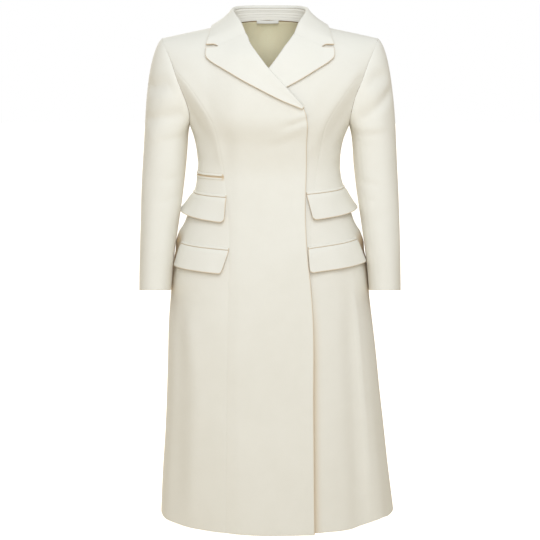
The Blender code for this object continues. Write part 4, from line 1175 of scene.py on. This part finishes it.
def turned_back(side, roll, flat_at, across):
    """(outer, inner) points of rows that fold over at the roll line and then lie on the front.

    flat_at gives halves and heights of each row at shares from its roll line to its free edge.
    """

    def on_body(flat):
        x, height = -side * flat[..., 0], flat[..., 1]
        angle = front_angle(x, height)
        points, normals = coat_skin(angle, height)
        return points, normals, lapel_stack(side, x, height)

    edge = flat_at(np.ones((len(roll), 1)))[:, 0]
    width = np.linalg.norm(edge - roll, axis=-1)
    radius = np.minimum(LAPEL_FOLD_RADIUS, LAPEL_FOLD_SHARE * width)
    start = radius / width
    shares = start[:, None] + (1 - start[:, None]) * across[None, :]
    on_roll = bell((shares - LAPEL_ROLL_PLACE) / LAPEL_ROLL_SPREAD)
    lift = LAPEL_EDGE_LIFT * shares**2 + LAPEL_ROLL_LIFT * on_roll
    flat = flat_at(shares)
    open_to_view = step(*LAPEL_COVERED_HEIGHTS, flat[..., 1]) if side > 0 else 1.0
    lift = lift + LAPEL_EDGE_CURL * shares**3 * open_to_view
    points, normals, stack = on_body(flat)
    reach = (stack + lift)[..., None]
    face, under = points + normals * reach, points + normals * (reach - FOLDED_CLOTH)
    foot, foot_normal, _ = on_body(roll)
    into = unit(points[:, 0] - foot)
    top = reach[:, 0]
    size = radius[:, None]
    centre = foot + into * size + foot_normal * (top - size)
    swing = np.radians(np.linspace(LAPEL_FOLD_FROM, 90, FOLD_COLUMNS))[:-1][None, :, None]
    spoke = -into[:, None] * np.cos(swing) + foot_normal[:, None] * np.sin(swing)
    fold = centre[:, None] + spoke * size[:, None]
    core = centre[:, None] + spoke * np.maximum(size - FOLDED_CLOTH, FOLD_CORE)[:, None]
    return np.concatenate([fold, face], axis=1), np.concatenate([core, under], axis=1)


def in_notch(across):
    """How free the gorge row of a lapel or of the collar is: sewn up to the notch and free in it."""
    on_face = step(NOTCH_INNER_SHARE - NOTCH_END, NOTCH_INNER_SHARE, across)
    return np.concatenate([np.zeros(FOLD_COLUMNS - 1), on_face])[None, :]


def lapel(side):
    """A lapel, turned back over its front along the roll line."""
    spacing = coat_look().grid_spacing * FACE_SPACING
    across = stops(LAPEL_WIDTH, "plain", "free", spacing)
    share = stops(LAPEL_LENGTH, "free", "free", spacing)
    edge, roll = lapel_outline(side, share)
    settle = step(LAPEL_SETTLE_SHARE, 1.0, share)[:, None, None]

    def flat_at(shares):
        flat = mix(roll[:, None], edge[:, None], shares[..., None])
        straight = mix(roll[-1], edge[-1], shares[..., None])
        return flat + settle * (gorge_line(shares) - straight)

    outer, inner = turned_back(side, roll, flat_at, across)
    edges = {"first_row": "free", "last_column": "free", "last_row": ("free", in_notch(across))}
    # painted shade along the lapel's free edges, less where the edge stands upright
    upright = step(*RIM_SHADE_UPRIGHT, np.abs(unit(np.gradient(outer[:, -1], axis=0))[:, 2]))
    rim_shade_weights = {"last_column": 1 - UPRIGHT_RIM_SHADE_LOSS * upright[:, None]}
    return declare(cloth_piece(sided("lapel", side), outer, inner, edges, rim_shade_weights=rim_shade_weights))


def above_body(x, y, lift):
    """A point off the shoulders, upper back or chest, from a place on the plan."""
    behind = y > 0
    angle = front_angle(x, COLLAR_ANGLE_HEIGHT)
    angle = np.array(180 - angle if behind else angle)
    power = 2 / read(BODY, "squareness", COLLAR_REACH_HEIGHT)
    reach = read(BODY, "back" if behind else "front", COLLAR_REACH_HEIGHT)
    reach = reach * abs(math.cos(math.radians(angle))) ** power
    top = ridge_height(x, behind)
    height = UNDERARM_HEIGHT + (top - UNDERARM_HEIGHT) * math.sqrt(1 - min(1.0, abs(y) / reach) ** 2)
    return body_skin(angle, height) + body_normal(angle, height) * lift


def collar_row(station, across):
    """(outer, inner, stand) points of the collar at one station, from inside the roll to the free edge."""
    roll = np.array([station.roll_x, station.roll_y, station.roll_z])
    seam = np.array([station.seam_x, station.seam_y, station.seam_z + STAND_TRIM])
    edge = above_body(station.edge_x, station.edge_y, COLLAR_LIFT)
    out = unit((edge - roll) * (1, 1, 0))
    up = np.array([0.0, 0.0, 1.0])
    radius = COLLAR_FOLD_RADIUS
    centre = roll - up * radius
    away, below = float((edge - centre) @ out), float((edge - centre) @ up)
    leaves = math.atan2(below, away) + math.acos(radius / math.hypot(away, below))
    first = math.radians(COLLAR_FOLD_FROM)
    swing = np.linspace(first, leaves, FOLD_COLUMNS)[:-1, None]
    spoke = np.cos(swing) * out + np.sin(swing) * up
    facing = math.cos(leaves) * out + math.sin(leaves) * up
    start = centre + facing * radius
    swell = 4 * across * (1 - across) * (1 - 0.5 * across) * COLLAR_ROUND
    face = mix(start, edge, across[:, None]) + facing * swell[:, None]
    outer = np.concatenate([centre + spoke * radius, face])
    inner = np.concatenate([centre + spoke * (radius - FOLDED_CLOTH), face - facing * FOLDED_CLOTH])
    top = centre + (math.cos(first) * out + (math.sin(first) - STAND_TOP_DROP) * up) * radius
    stand = mix(seam, top, np.linspace(0, 1, STAND_ROWS)[:, None])
    return outer, inner, stand


def along_stations(rows, at_share):
    """A finer grid through control rows."""
    rows = np.array(rows)
    steps = np.linalg.norm(np.diff(rows[:, rows.shape[1] // 3], axis=0), axis=-1)
    knots = np.concatenate([[0], np.cumsum(np.sqrt(steps))])
    flat = rows.reshape(len(rows), -1)
    fine = np.stack([smooth(knots, flat[:, k], at_share * knots[-1]) for k in range(flat.shape[1])], -1)
    return fine.reshape(len(at_share), *rows.shape[1:])


def gorge_row(side, across):
    """(outer, inner) points of the collar's front end, just above the lapel's gorge seam and notch."""
    rise = np.array([0.0, GORGE_SEAM_RISE])

    def flat_at(shares):
        opening = NOTCH_OPENING * step(*NOTCH_OPENING_SHARES, shares)
        return gorge_line(shares) + rise + np.stack([0 * shares, opening], -1)

    roll = gorge_line(np.zeros(1)) + rise
    outer, inner = turned_back(side, roll, flat_at, across)
    return outer[0], inner[0]


def both_halves(rows):
    """Rows of the collar's left half, with their mirror images first."""
    return [row * MIRRORED for row in rows] + rows[-2::-1]


def collar_fall(stations, across, spacing):
    """The collar's fall, which folds over at the roll."""
    at = stops(COLLAR_LENGTH, "free", "free", spacing)
    grids = []
    for layer in (0, 1):
        right, left = (gorge_row(side, across)[layer] for side in SIDES)
        halves = both_halves([station[layer] for station in stations])
        grids.append(along_stations([right, *halves, left], at))
    edges = {edge: ("free", in_notch(across)) for edge in ("first_row", "last_row")}
    edges["last_column"] = "free"
    # weak painted shade along the fall's free edge
    made = cloth_piece("collar_fall", *grids, edges, rim_shade_weights={"last_column": COLLAR_RIM_SHADE})
    return declare(made)


def collar_stand(stations):
    """The stand inside the fall, with lines pressed along it."""
    rows = both_halves([station[2] for station in stations])
    face = along_stations(rows, np.linspace(0, 1, STAND_COLUMNS))
    normals = unit(np.cross(np.gradient(face, axis=1), np.gradient(face, axis=0)))
    from_neck = (normals * (face - STAND_CENTRE) * (1, 1, 0)).sum()
    outward = normals if from_neck > 0 else -normals
    up = np.linspace(0, 1, STAND_ROWS)
    pressed = sum(line.depth * bell((up - line.place) / line.width) for line in STAND_LINES)
    face = face + outward * pressed[None, :, None]
    # painted shade over the whole stand
    made = cloth_piece("collar_stand", face, face + outward * CLOTH, {"first_column": "seam"}, STAND_SHADE)
    return declare(made)


# Pockets


def corner_rise(from_end, radius):
    """How far a rounded corner lifts the lower edge, by the distance from the end."""
    short = radius - np.minimum(from_end, radius)
    return radius - np.sqrt(radius**2 - short**2)


def flap(shape, trims):
    """A pocket flap, sewn in along its top edge and standing off towards its lower edge."""
    spacing = coat_look().grid_spacing * POCKET_SPACING
    across = stops(FLAP_LENGTH, "free", "free", spacing)
    down = stops(shape.inner_drop, "plain", "free", spacing)[:, None]
    inner_height = shape.top - shape.inner_drop * down
    inner_half = shape.inner_half + shape.inner_lean * down
    inner = np.abs(front_angle(shape.side * inner_half, inner_height))
    angle = shape.side * mix(inner, shape.outer_angle, across[None, :])
    top = shape.top + shape.rise * across**POCKET_RISE_SHAPE
    along = run_lengths(body_skin(angle[0], top))
    raised = corner_rise(along, FLAP_CORNER) + corner_rise(along[-1] - along, FLAP_OUTER_CORNER)
    height = top - down * (mix(shape.inner_drop, shape.outer_drop, across) - raised)[None, :]
    flare = mix(shape.flare_inner, shape.flare_outer, across**3)
    wave = FLAP_WAVE * np.sin(along * FLAP_WAVE_RATE + shape.top * FLAP_WAVE_PHASE + shape.side)
    thickness = mix(FLAP_SEWN_CLOTH, FOLDED_CLOTH, step(0.0, FLAP_SEWN_SHARE, down))
    inner_curl = bell(along / FLAP_CURL_REACH)[None, :] * step(0.0, FLAP_CURL_SHARE, down)
    stand_off = (flare + wave)[None, :] * down**FLAP_FLARE_SHAPE + FLAP_CURL * (inner_curl + down**3)
    edges = {"last_row": "free", "first_column": "free", "last_column": "free"}
    offset = FLAP_GAP + thickness + stand_off
    made = skin_piece(f"flap_{shape.name}", angle, height, offset, thickness, edges)
    return declare(made, [sided("side_front", shape.side)], trims)


def welt(name, side, inner_half, outer_angle, top, rise, above=True):
    """A narrow folded strip along a pocket's mouth. One below the mouth lies flatter."""
    spacing = coat_look().grid_spacing * POCKET_SPACING
    inner = abs(float(front_angle(side * inner_half, top)))
    across = stops(WELT_LENGTH, "free", "free", spacing)
    down = np.linspace(0, 1, WELT_ROWS)[:, None]
    height = top + rise * across**POCKET_RISE_SHAPE - WELT_HEIGHT * down
    angle = np.broadcast_to(side * mix(inner, outer_angle, across), height.shape)
    fullness = np.sqrt(np.clip(1 - (2 * down - 1) ** 2, 0, 1)) * (1.0 if above else LOWER_WELT_FULLNESS)
    offset = WELT_SEAT + WELT_ROUND * fullness
    thickness = WELT_LEAST_CLOTH + WELT_CLOTH * fullness
    mouth = 1.0 if above else 0.0
    # painted shade along the welt's edge at the pocket's mouth
    painted_shade = SLIT_SHADE * bell((down - mouth) / WELT_SHADE_SPREAD)
    edges = {"first_column": "free", "last_column": "free"}
    return skin_piece(name, angle, height, offset, thickness, edges, painted_shade=painted_shade)[0]


# Shaders


class Value:
    """A number or vector socket whose arithmetic adds nodes."""

    def __init__(self, nodes, socket):
        self.nodes, self.socket = nodes, socket

    def maths(self, operation, first, second):
        return self.nodes.add("ShaderNodeMath", {"operation": operation}, {0: first, 1: second})

    def __add__(self, other):
        return self.maths("ADD", self, other)

    def __radd__(self, other):
        return self.maths("ADD", other, self)

    def __mul__(self, other):
        return self.maths("MULTIPLY", self, other)

    def __rmul__(self, other):
        return self.maths("MULTIPLY", other, self)

    def sine(self):
        return self.maths("SINE", self, 0.0)


class Nodes:
    """The node tree of one material."""

    def __init__(self, name):
        self.material = bpy.data.materials.new(name)
        self.material.use_nodes = True
        self.tree = self.material.node_tree
        self.shader = self.tree.nodes["Principled BSDF"]

    def add(self, kind, settings=None, sockets=None, output=0):
        """A node of a type, with its settings made first and then its sockets' values or links."""
        node = self.tree.nodes.new(kind)
        for name, value in (settings or {}).items():
            setattr(node, name, value)
        for name, value in (sockets or {}).items():
            self.feed(node.inputs[name], value)
        return Value(self, node.outputs[output])

    def feed(self, socket, value):
        if isinstance(value, Value):
            self.tree.links.new(value.socket, socket)
        else:
            socket.default_value = value

    def finish(self, values):
        for name, value in values.items():
            self.feed(self.shader.inputs[name], value)
        return self.material


def blended(nodes, share, low, high):
    """A colour between two, by a share. Each is three numbers or another node's colour."""
    ends = [end if isinstance(end, Value) else (*end, 1.0) for end in (low, high)]
    sockets = {"Factor": share, "A": ends[0], "B": ends[1]}
    return nodes.add("ShaderNodeMix", {"data_type": "RGBA"}, sockets, "Result")


def shades(colour, factors):
    """A colour's darkest and lightest shade."""
    return [tuple(min(1.0, c * f) for c, f in zip(colour, row)) for row in factors]


def noise(nodes, vector, grain):
    sockets = {"Vector": vector, "Scale": grain.scale, "Detail": grain.detail, "Roughness": grain.roughness}
    return nodes.add("ShaderNodeTexNoise", None, sockets, "Fac")


def bumped(nodes, height, strength, distance):
    sockets = {"Strength": strength, "Distance": distance, "Height": height}
    return nodes.add("ShaderNodeBump", None, sockets, "Normal")


def cloth_nodes(name):
    """(nodes, place, place on the cloth, distance across it, distance up it) for a cloth's material."""
    nodes = Nodes(name)
    place = nodes.add("ShaderNodeTexCoord", None, None, "Object")
    on_cloth = nodes.add("ShaderNodeUVMap", {"uv_map": "weave"}, None, "UV")
    across = nodes.add("ShaderNodeSeparateXYZ", None, {"Vector": on_cloth}, "X")
    up = nodes.add("ShaderNodeSeparateXYZ", None, {"Vector": on_cloth}, "Y")
    return nodes, place, on_cloth, across, up


def wool_material(name):
    """Brushed ivory wool: a fine twill under a short nap, with a faint mottle, the reverse's own warm
    colour on the inner face, and painted shade in that warm tone along free edges and in gaps on the outer
    face.
    """
    look = coat_look()
    nodes, place, on_cloth, across, up = cloth_nodes(name)
    turns = 2 * math.pi / look.weave_pitch
    twill = (across * turns + up * (turns * 0.8)).sine()
    warp = (across * (turns * 1.7)).sine()
    on_nap = nodes.add("ShaderNodeMapping", None, {"Vector": on_cloth, "Scale": (1.0, 0.45, 1.0)})
    on_slubs = nodes.add("ShaderNodeMapping", None, {"Vector": on_cloth, "Scale": (0.28, 1.0, 1.0)})
    nap = noise(nodes, on_nap, NAP)
    clumps = noise(nodes, on_cloth, CLUMPS)
    slubs = noise(nodes, on_slubs, SLUBS)
    mottle = noise(nodes, place, MOTTLE)
    drift = noise(nodes, place, DRIFT)
    height = 0.18 * twill + 0.07 * warp + 0.9 * nap + 0.8 * clumps
    share = 0.35 * mottle + 0.25 * drift + 0.25 * slubs + 0.15 * nap
    face = blended(nodes, share, *shades(look.wool_colour, WOOL_SHADES))
    # the attribute gives the reverse's own colour on the inner face and painted shade on the outer face
    reverse = nodes.add("ShaderNodeAttribute", {"attribute_name": "reverse"}, None, "Fac")
    return nodes.finish(
        {
            "Base Color": blended(nodes, reverse, face, look.reverse_and_shade_colour),
            "Roughness": 0.80 + 0.14 * clumps,
            "Normal": bumped(nodes, height, look.nap_strength, 0.0006),
            "Sheen Weight": 0.18,
            "Sheen Roughness": 0.45,
            "Sheen Tint": (1.0, 0.985, 0.95, 1.0),
            "Specular IOR Level": 0.25,
        }
    )


def lining_material(name):
    """Smooth beige twill."""
    nodes, place, on_cloth, across, up = cloth_nodes(name)
    turns = 2 * math.pi / LINING_RIB
    twill = (across * turns + up * turns).sine()
    slub = noise(nodes, on_cloth, LINING_SLUBS)
    mottle = noise(nodes, place, LINING_MOTTLE)
    share = 0.4 * mottle + 0.6 * slub
    return nodes.finish(
        {
            "Base Color": blended(nodes, share, *shades(coat_look().lining_colour, LINING_SHADES)),
            "Roughness": 0.42 + 0.12 * slub,
            "Normal": bumped(nodes, 0.5 * twill + 0.5 * slub, 0.15, 0.0003),
            "Sheen Weight": 0.15,
        }
    )


CLOTHS = {"wool": ("ivory_wool", wool_material), "lining": ("beige_lining", lining_material)}


def cloth_material(slot):
    """The material of one of the coat's two cloths, made when it is first asked for."""
    name, make = CLOTHS[slot]
    return bpy.data.materials.get(name) or make(name)


# Settings, operators and the panel


def colour(name, description, default):
    return bpy.props.FloatVectorProperty(
        name=name, description=description, subtype="COLOR", size=3, min=0.0, max=1.0, default=default
    )


def amount(name, description, default, least, most, **kind):
    return bpy.props.FloatProperty(
        name=name, description=description, default=default, min=least, max=most, **kind
    )


class CoatLook(bpy.types.PropertyGroup):
    """Sizes and colours of the coat's cloth."""

    wool_colour: colour("Wool", "Colour of the wool", (0.858, 0.858, 0.816))
    # the wool reverse's own colour, also the colour of the painted shade on the outer face along edges and
    # in gaps
    reverse_and_shade_colour: colour("Reverse", "Colour of the wool's reverse", (0.66, 0.49, 0.28))
    lining_colour: colour("Lining", "Colour of the lining", (1.0, 0.895, 0.63))
    crease_strength: amount("Creases", "How deep the creases are", 1.0, 0.0, 2.0, subtype="FACTOR")
    grid_spacing: amount("Grid", "Distance between points of the cloth", 0.005, 0.003, 0.02, unit="LENGTH")
    weave_pitch: amount("Weave", "Distance between ribs of the twill", 0.0013, 0.0005, 0.01, unit="LENGTH")
    nap_strength: amount("Nap", "How rough the brushed surface is", 0.22, 0.0, 1.0, subtype="FACTOR")


class StageLook(bpy.types.PropertyGroup):
    """Light, floor and camera."""

    floor_drop: amount("Floor drop", "Distance from the hem to the floor", 0.30, 0.05, 1.0, unit="LENGTH")
    key_power: amount("Key light", "Power of the light above", 21.3, 0.0, 500.0, unit="POWER")
    front_power: amount("Front light", "Power of the light near the camera", 14.1, 0.0, 500.0, unit="POWER")
    back_power: amount("Back light", "Power of the light behind the coat", 62.0, 0.0, 500.0, unit="POWER")
    light_colour: colour("Lights", "Colour of the lights in front", (0.895, 0.945, 1.0))
    ambient: amount("Surroundings", "Brightness of the light from all round", 0.52, 0.0, 2.0)
    ambient_colour: colour("Tint", "Colour of the light from all round", (1.0, 0.962, 0.875))
    camera_rise: amount(
        "Camera rise", "Angle of the camera above the level", math.radians(9.5), 0.0, 1.5, subtype="ANGLE"
    )
    camera_reach: amount(
        "Camera reach", "Distance from the camera to the coat", 3.63, 1.0, 10.0, unit="LENGTH"
    )


def coat_look():
    return bpy.context.scene.long_coat_look


class COAT_OT_fronts(bpy.types.Operator):
    """Make the two fronts, the right one crossing over the left"""

    bl_idname = "long_coat.fronts"
    bl_label = "Fronts"

    def execute(self, context):
        last = len(PRINCESS_HEIGHTS) - 1 + FRONT_ARMHOLE_ROWS
        for side in SIDES:
            rise = right_front_rise if side < 0 else None
            panel(side, "front", front_places, last, inner_end="free", offset=rise, ridge=1.0)
        return {"FINISHED"}


class COAT_OT_side_fronts(bpy.types.Operator):
    """Make the two side fronts, with the small ticket pocket on the right one"""

    bl_idname = "long_coat.side_fronts"
    bl_label = "Side fronts"

    def execute(self, context):
        for side in SIDES:
            trims = self.ticket_pocket() if side < 0 else ()
            panel(side, "side_front", side_front_places, len(PRINCESS_HEIGHTS) - 1, trims=trims)
        return {"FINISHED"}

    def ticket_pocket(self):
        ends = (-1, float(princess_half(TICKET_TOP)) + TICKET_INSET, TICKET_OUTER_ANGLE)
        below = TICKET_TOP - WELT_HEIGHT - TICKET_SLIT
        upper = welt("ticket_welt_upper", *ends, TICKET_TOP, 0.0)
        return [upper, welt("ticket_welt_lower", *ends, below, 0.0, above=False)]


class COAT_OT_backs(bpy.types.Operator):
    """Make the two halves of the back"""

    bl_idname = "long_coat.backs"
    bl_label = "Backs"

    def execute(self, context):
        last = len(BACK_SIDE_HEIGHTS) - 1 + BACK_ARMHOLE_ROWS
        for side in SIDES:
            panel(side, "back", back_places, last, ridge=BACK_SHOULDER_SHARE)
        return {"FINISHED"}


class COAT_OT_sleeves(bpy.types.Operator):
    """Make both two-piece sleeves"""

    bl_idname = "long_coat.sleeves"
    bl_label = "Sleeves"

    def execute(self, context):
        for side in SIDES:
            for under in (False, True):
                sleeve(side, under)
        return {"FINISHED"}


class COAT_OT_lapels(bpy.types.Operator):
    """Make the two lapels"""

    bl_idname = "long_coat.lapels"
    bl_label = "Lapels"

    def execute(self, context):
        for side in SIDES:
            lapel(side)
        return {"FINISHED"}


class COAT_OT_collar(bpy.types.Operator):
    """Make the collar's fall and stand"""

    bl_idname = "long_coat.collar"
    bl_label = "Collar"

    def execute(self, context):
        spacing = coat_look().grid_spacing * FACE_SPACING
        across = stops(COLLAR_WIDTH, "plain", "free", spacing)
        stations = [collar_row(station, across) for station in COLLAR]
        collar_fall(stations, across, spacing)
        collar_stand(stations)
        return {"FINISHED"}


class COAT_OT_pockets(bpy.types.Operator):
    """Make the flaps and welts of the pockets"""

    bl_idname = "long_coat.pockets"
    bl_label = "Pockets"

    def execute(self, context):
        for shape in FLAPS:
            top = shape.top + WELT_HEIGHT
            ends = (shape.inner_half, shape.outer_angle)
            upper = welt(f"welt_{shape.name}", shape.side, *ends, top, shape.rise)
            flap(shape, [upper])
        return {"FINISHED"}


class COAT_OT_lining(bpy.types.Operator):
    """Make the part lining of the upper back and the hanger loop"""

    bl_idname = "long_coat.lining"
    bl_label = "Lining and hanger loop"

    def execute(self, context):
        turn = np.linspace(-1, 1, LINING_COLUMNS)
        neck_angle, neck_height = back_neckline(90 - LINING_NECK_TURN * np.abs(turn))
        neck_angle = np.where(turn < 0, neck_angle, 360 - neck_angle)
        share = np.sin(np.linspace(0, math.pi / 2, LINING_ROWS))[:, None]
        angle = mix((180 + LINING_HALF_ANGLE * turn)[None, :], neck_angle[None, :], share)
        height = mix(LINING_HEM_HEIGHT, neck_height[None, :], share)
        wave = np.sin(turn * LINING_FOLD_ROUND + height * LINING_FOLD_CLIMB)
        folds = LINING_FOLD * wave * (1 - share**4)
        at_pleat = bell((turn[None, :] - LINING_PLEAT_PLACE) / LINING_PLEAT_WIDTH)
        pleat = LINING_PLEAT * at_pleat * (1 - share**3)
        ease = LINING_EASE * bell((height - LINING_EASE_HEIGHT) / LINING_EASE_REACH)
        offset = -CLOTH - LINING_GAP - np.abs(folds) * LINING_FOLD_SHARE - pleat - ease
        made = skin_piece("back_lining", angle, height, offset, LINING_CLOTH, ALL_FREE)
        declare(made, ["back_left", "back_right"], [self.hanger_loop()])
        return {"FINISHED"}

    def hanger_loop(self):
        x = np.linspace(-HANGER_LOOP_HALF, HANGER_LOOP_HALF, LOOP_COLUMNS) + HANGER_LOOP_CENTRE
        down = np.linspace(1, 0, LOOP_ROWS)[:, None]
        height = HANGER_LOOP_TOP - HANGER_LOOP_WIDTH * down + 0 * x
        angle = np.broadcast_to(180 - front_angle(x, 0 * x), height.shape)
        sag = LOOP_SAG * (1 - ((x - HANGER_LOOP_CENTRE) / HANGER_LOOP_HALF) ** 2)
        offset = -CLOTH - LINING_GAP - LINING_CLOTH - LOOP_GAP - sag - LOOP_TILT * down
        return skin_piece("hanger_loop", angle, height, offset, LOOP_CLOTH, ALL_FREE)[0]


class COAT_OT_stage(bpy.types.Operator):
    """Make the floor, the lights and the camera"""

    bl_idname = "long_coat.stage"
    bl_label = "Stage"

    def execute(self, context):
        look = context.scene.long_coat_stage
        self.floor(HEM_HEIGHT - look.floor_drop)
        self.surroundings(context.scene, look)
        self.area_light(KEY_LIGHT, look.key_power, look.light_colour)
        self.area_light(FRONT_LIGHT, look.front_power, look.light_colour)
        self.area_light(BACK_LIGHT, look.back_power, look.ambient_colour)
        self.camera(context.scene, look)
        context.scene.view_settings.view_transform = "Standard"
        return {"FINISHED"}

    def floor(self, height):
        bpy.ops.mesh.primitive_plane_add(size=FLOOR_SIZE, location=(0.0, 0.0, 0.0))
        floor = bpy.context.object
        floor.name = "floor"
        for vertex in floor.data.vertices:
            vertex.co.z = height
        nodes = Nodes("pale_floor")
        place = nodes.add("ShaderNodeTexCoord", None, None, "Object")
        soft = noise(nodes, place, FLOOR_CLOUDS)
        seen = nodes.add("ShaderNodeLightPath", None, None, "Is Camera Ray")
        colour = blended(nodes, soft, *FLOOR_SHADES)
        glow = blended(nodes, seen, (0.0, 0.0, 0.0), (1.0, 1.0, 1.0))
        values = {"Base Color": colour, "Roughness": 0.9, "Emission Color": glow, "Emission Strength": 1.0}
        floor.data.materials.append(nodes.finish(values))

    def surroundings(self, scene, look):
        """White behind the coat and a softer light from all round."""
        world = bpy.data.worlds.new("studio")
        world.use_nodes = True
        tree = world.node_tree
        around = tree.nodes["Background"]
        around.inputs["Color"].default_value = (*look.ambient_colour, 1.0)
        around.inputs["Strength"].default_value = look.ambient
        behind = tree.nodes.new("ShaderNodeBackground")
        behind.inputs["Color"].default_value = (1.0, 1.0, 1.0, 1.0)
        seen = tree.nodes.new("ShaderNodeLightPath")
        either = tree.nodes.new("ShaderNodeMixShader")
        tree.links.new(seen.outputs["Is Camera Ray"], either.inputs["Fac"])
        tree.links.new(around.outputs["Background"], either.inputs[1])
        tree.links.new(behind.outputs["Background"], either.inputs[2])
        tree.links.new(either.outputs["Shader"], tree.nodes["World Output"].inputs["Surface"])
        scene.world = world

    def area_light(self, lamp, power, colour):
        light = bpy.data.lights.new(lamp.name, "AREA")
        light.shape, light.size, light.energy, light.color = "DISK", lamp.size, power, colour
        placed = bpy.data.objects.new(lamp.name, light)
        bpy.context.scene.collection.objects.link(placed)
        placed.location = lamp.place
        away = np.array(lamp.place) - np.array(lamp.aim)
        flat = math.hypot(away[0], away[1])
        placed.rotation_euler = (math.atan2(flat, away[2]), 0.0, math.atan2(away[0], -away[1]))

    def camera(self, scene, look):
        data = bpy.data.cameras.new("camera")
        data.sensor_width, data.lens = CAMERA_SENSOR, CAMERA_LENS
        camera = bpy.data.objects.new("camera", data)
        scene.collection.objects.link(camera)
        rise, reach = look.camera_rise, look.camera_reach
        camera.location = (0.0, -reach * math.cos(rise), CAMERA_AIM + reach * math.sin(rise))
        camera.rotation_euler = (math.pi / 2 - rise, 0.0, 0.0)
        scene.camera = camera


OPERATORS = (
    COAT_OT_fronts,
    COAT_OT_side_fronts,
    COAT_OT_backs,
    COAT_OT_sleeves,
    COAT_OT_lapels,
    COAT_OT_collar,
    COAT_OT_pockets,
    COAT_OT_lining,
    COAT_OT_stage,
)


class COAT_PT_panel(bpy.types.Panel):
    """Lists the coat's settings and pieces"""

    bl_idname = "COAT_PT_panel"
    bl_label = "Long Coat"
    bl_space_type = "VIEW_3D"
    bl_region_type = "UI"
    bl_category = "Long Coat"

    def draw(self, context):
        for settings in (context.scene.long_coat_look, context.scene.long_coat_stage):
            for name in settings.__annotations__:
                self.layout.prop(settings, name)
        for operator in OPERATORS:
            self.layout.operator(operator.bl_idname)


CLASSES = (CoatLook, StageLook, *OPERATORS, COAT_PT_panel)


def register():
    for cls in CLASSES:
        bpy.utils.register_class(cls)
    bpy.types.Scene.long_coat_look = bpy.props.PointerProperty(type=CoatLook)
    bpy.types.Scene.long_coat_stage = bpy.props.PointerProperty(type=StageLook)


def unregister():
    del bpy.types.Scene.long_coat_stage
    del bpy.types.Scene.long_coat_look
    for cls in reversed(CLASSES):
        bpy.utils.unregister_class(cls)


def main():
    register()
    for operator in OPERATORS:
        group, name = operator.bl_idname.split(".")
        getattr(getattr(bpy.ops, group), name)()


if __name__ == "__main__":
    main()
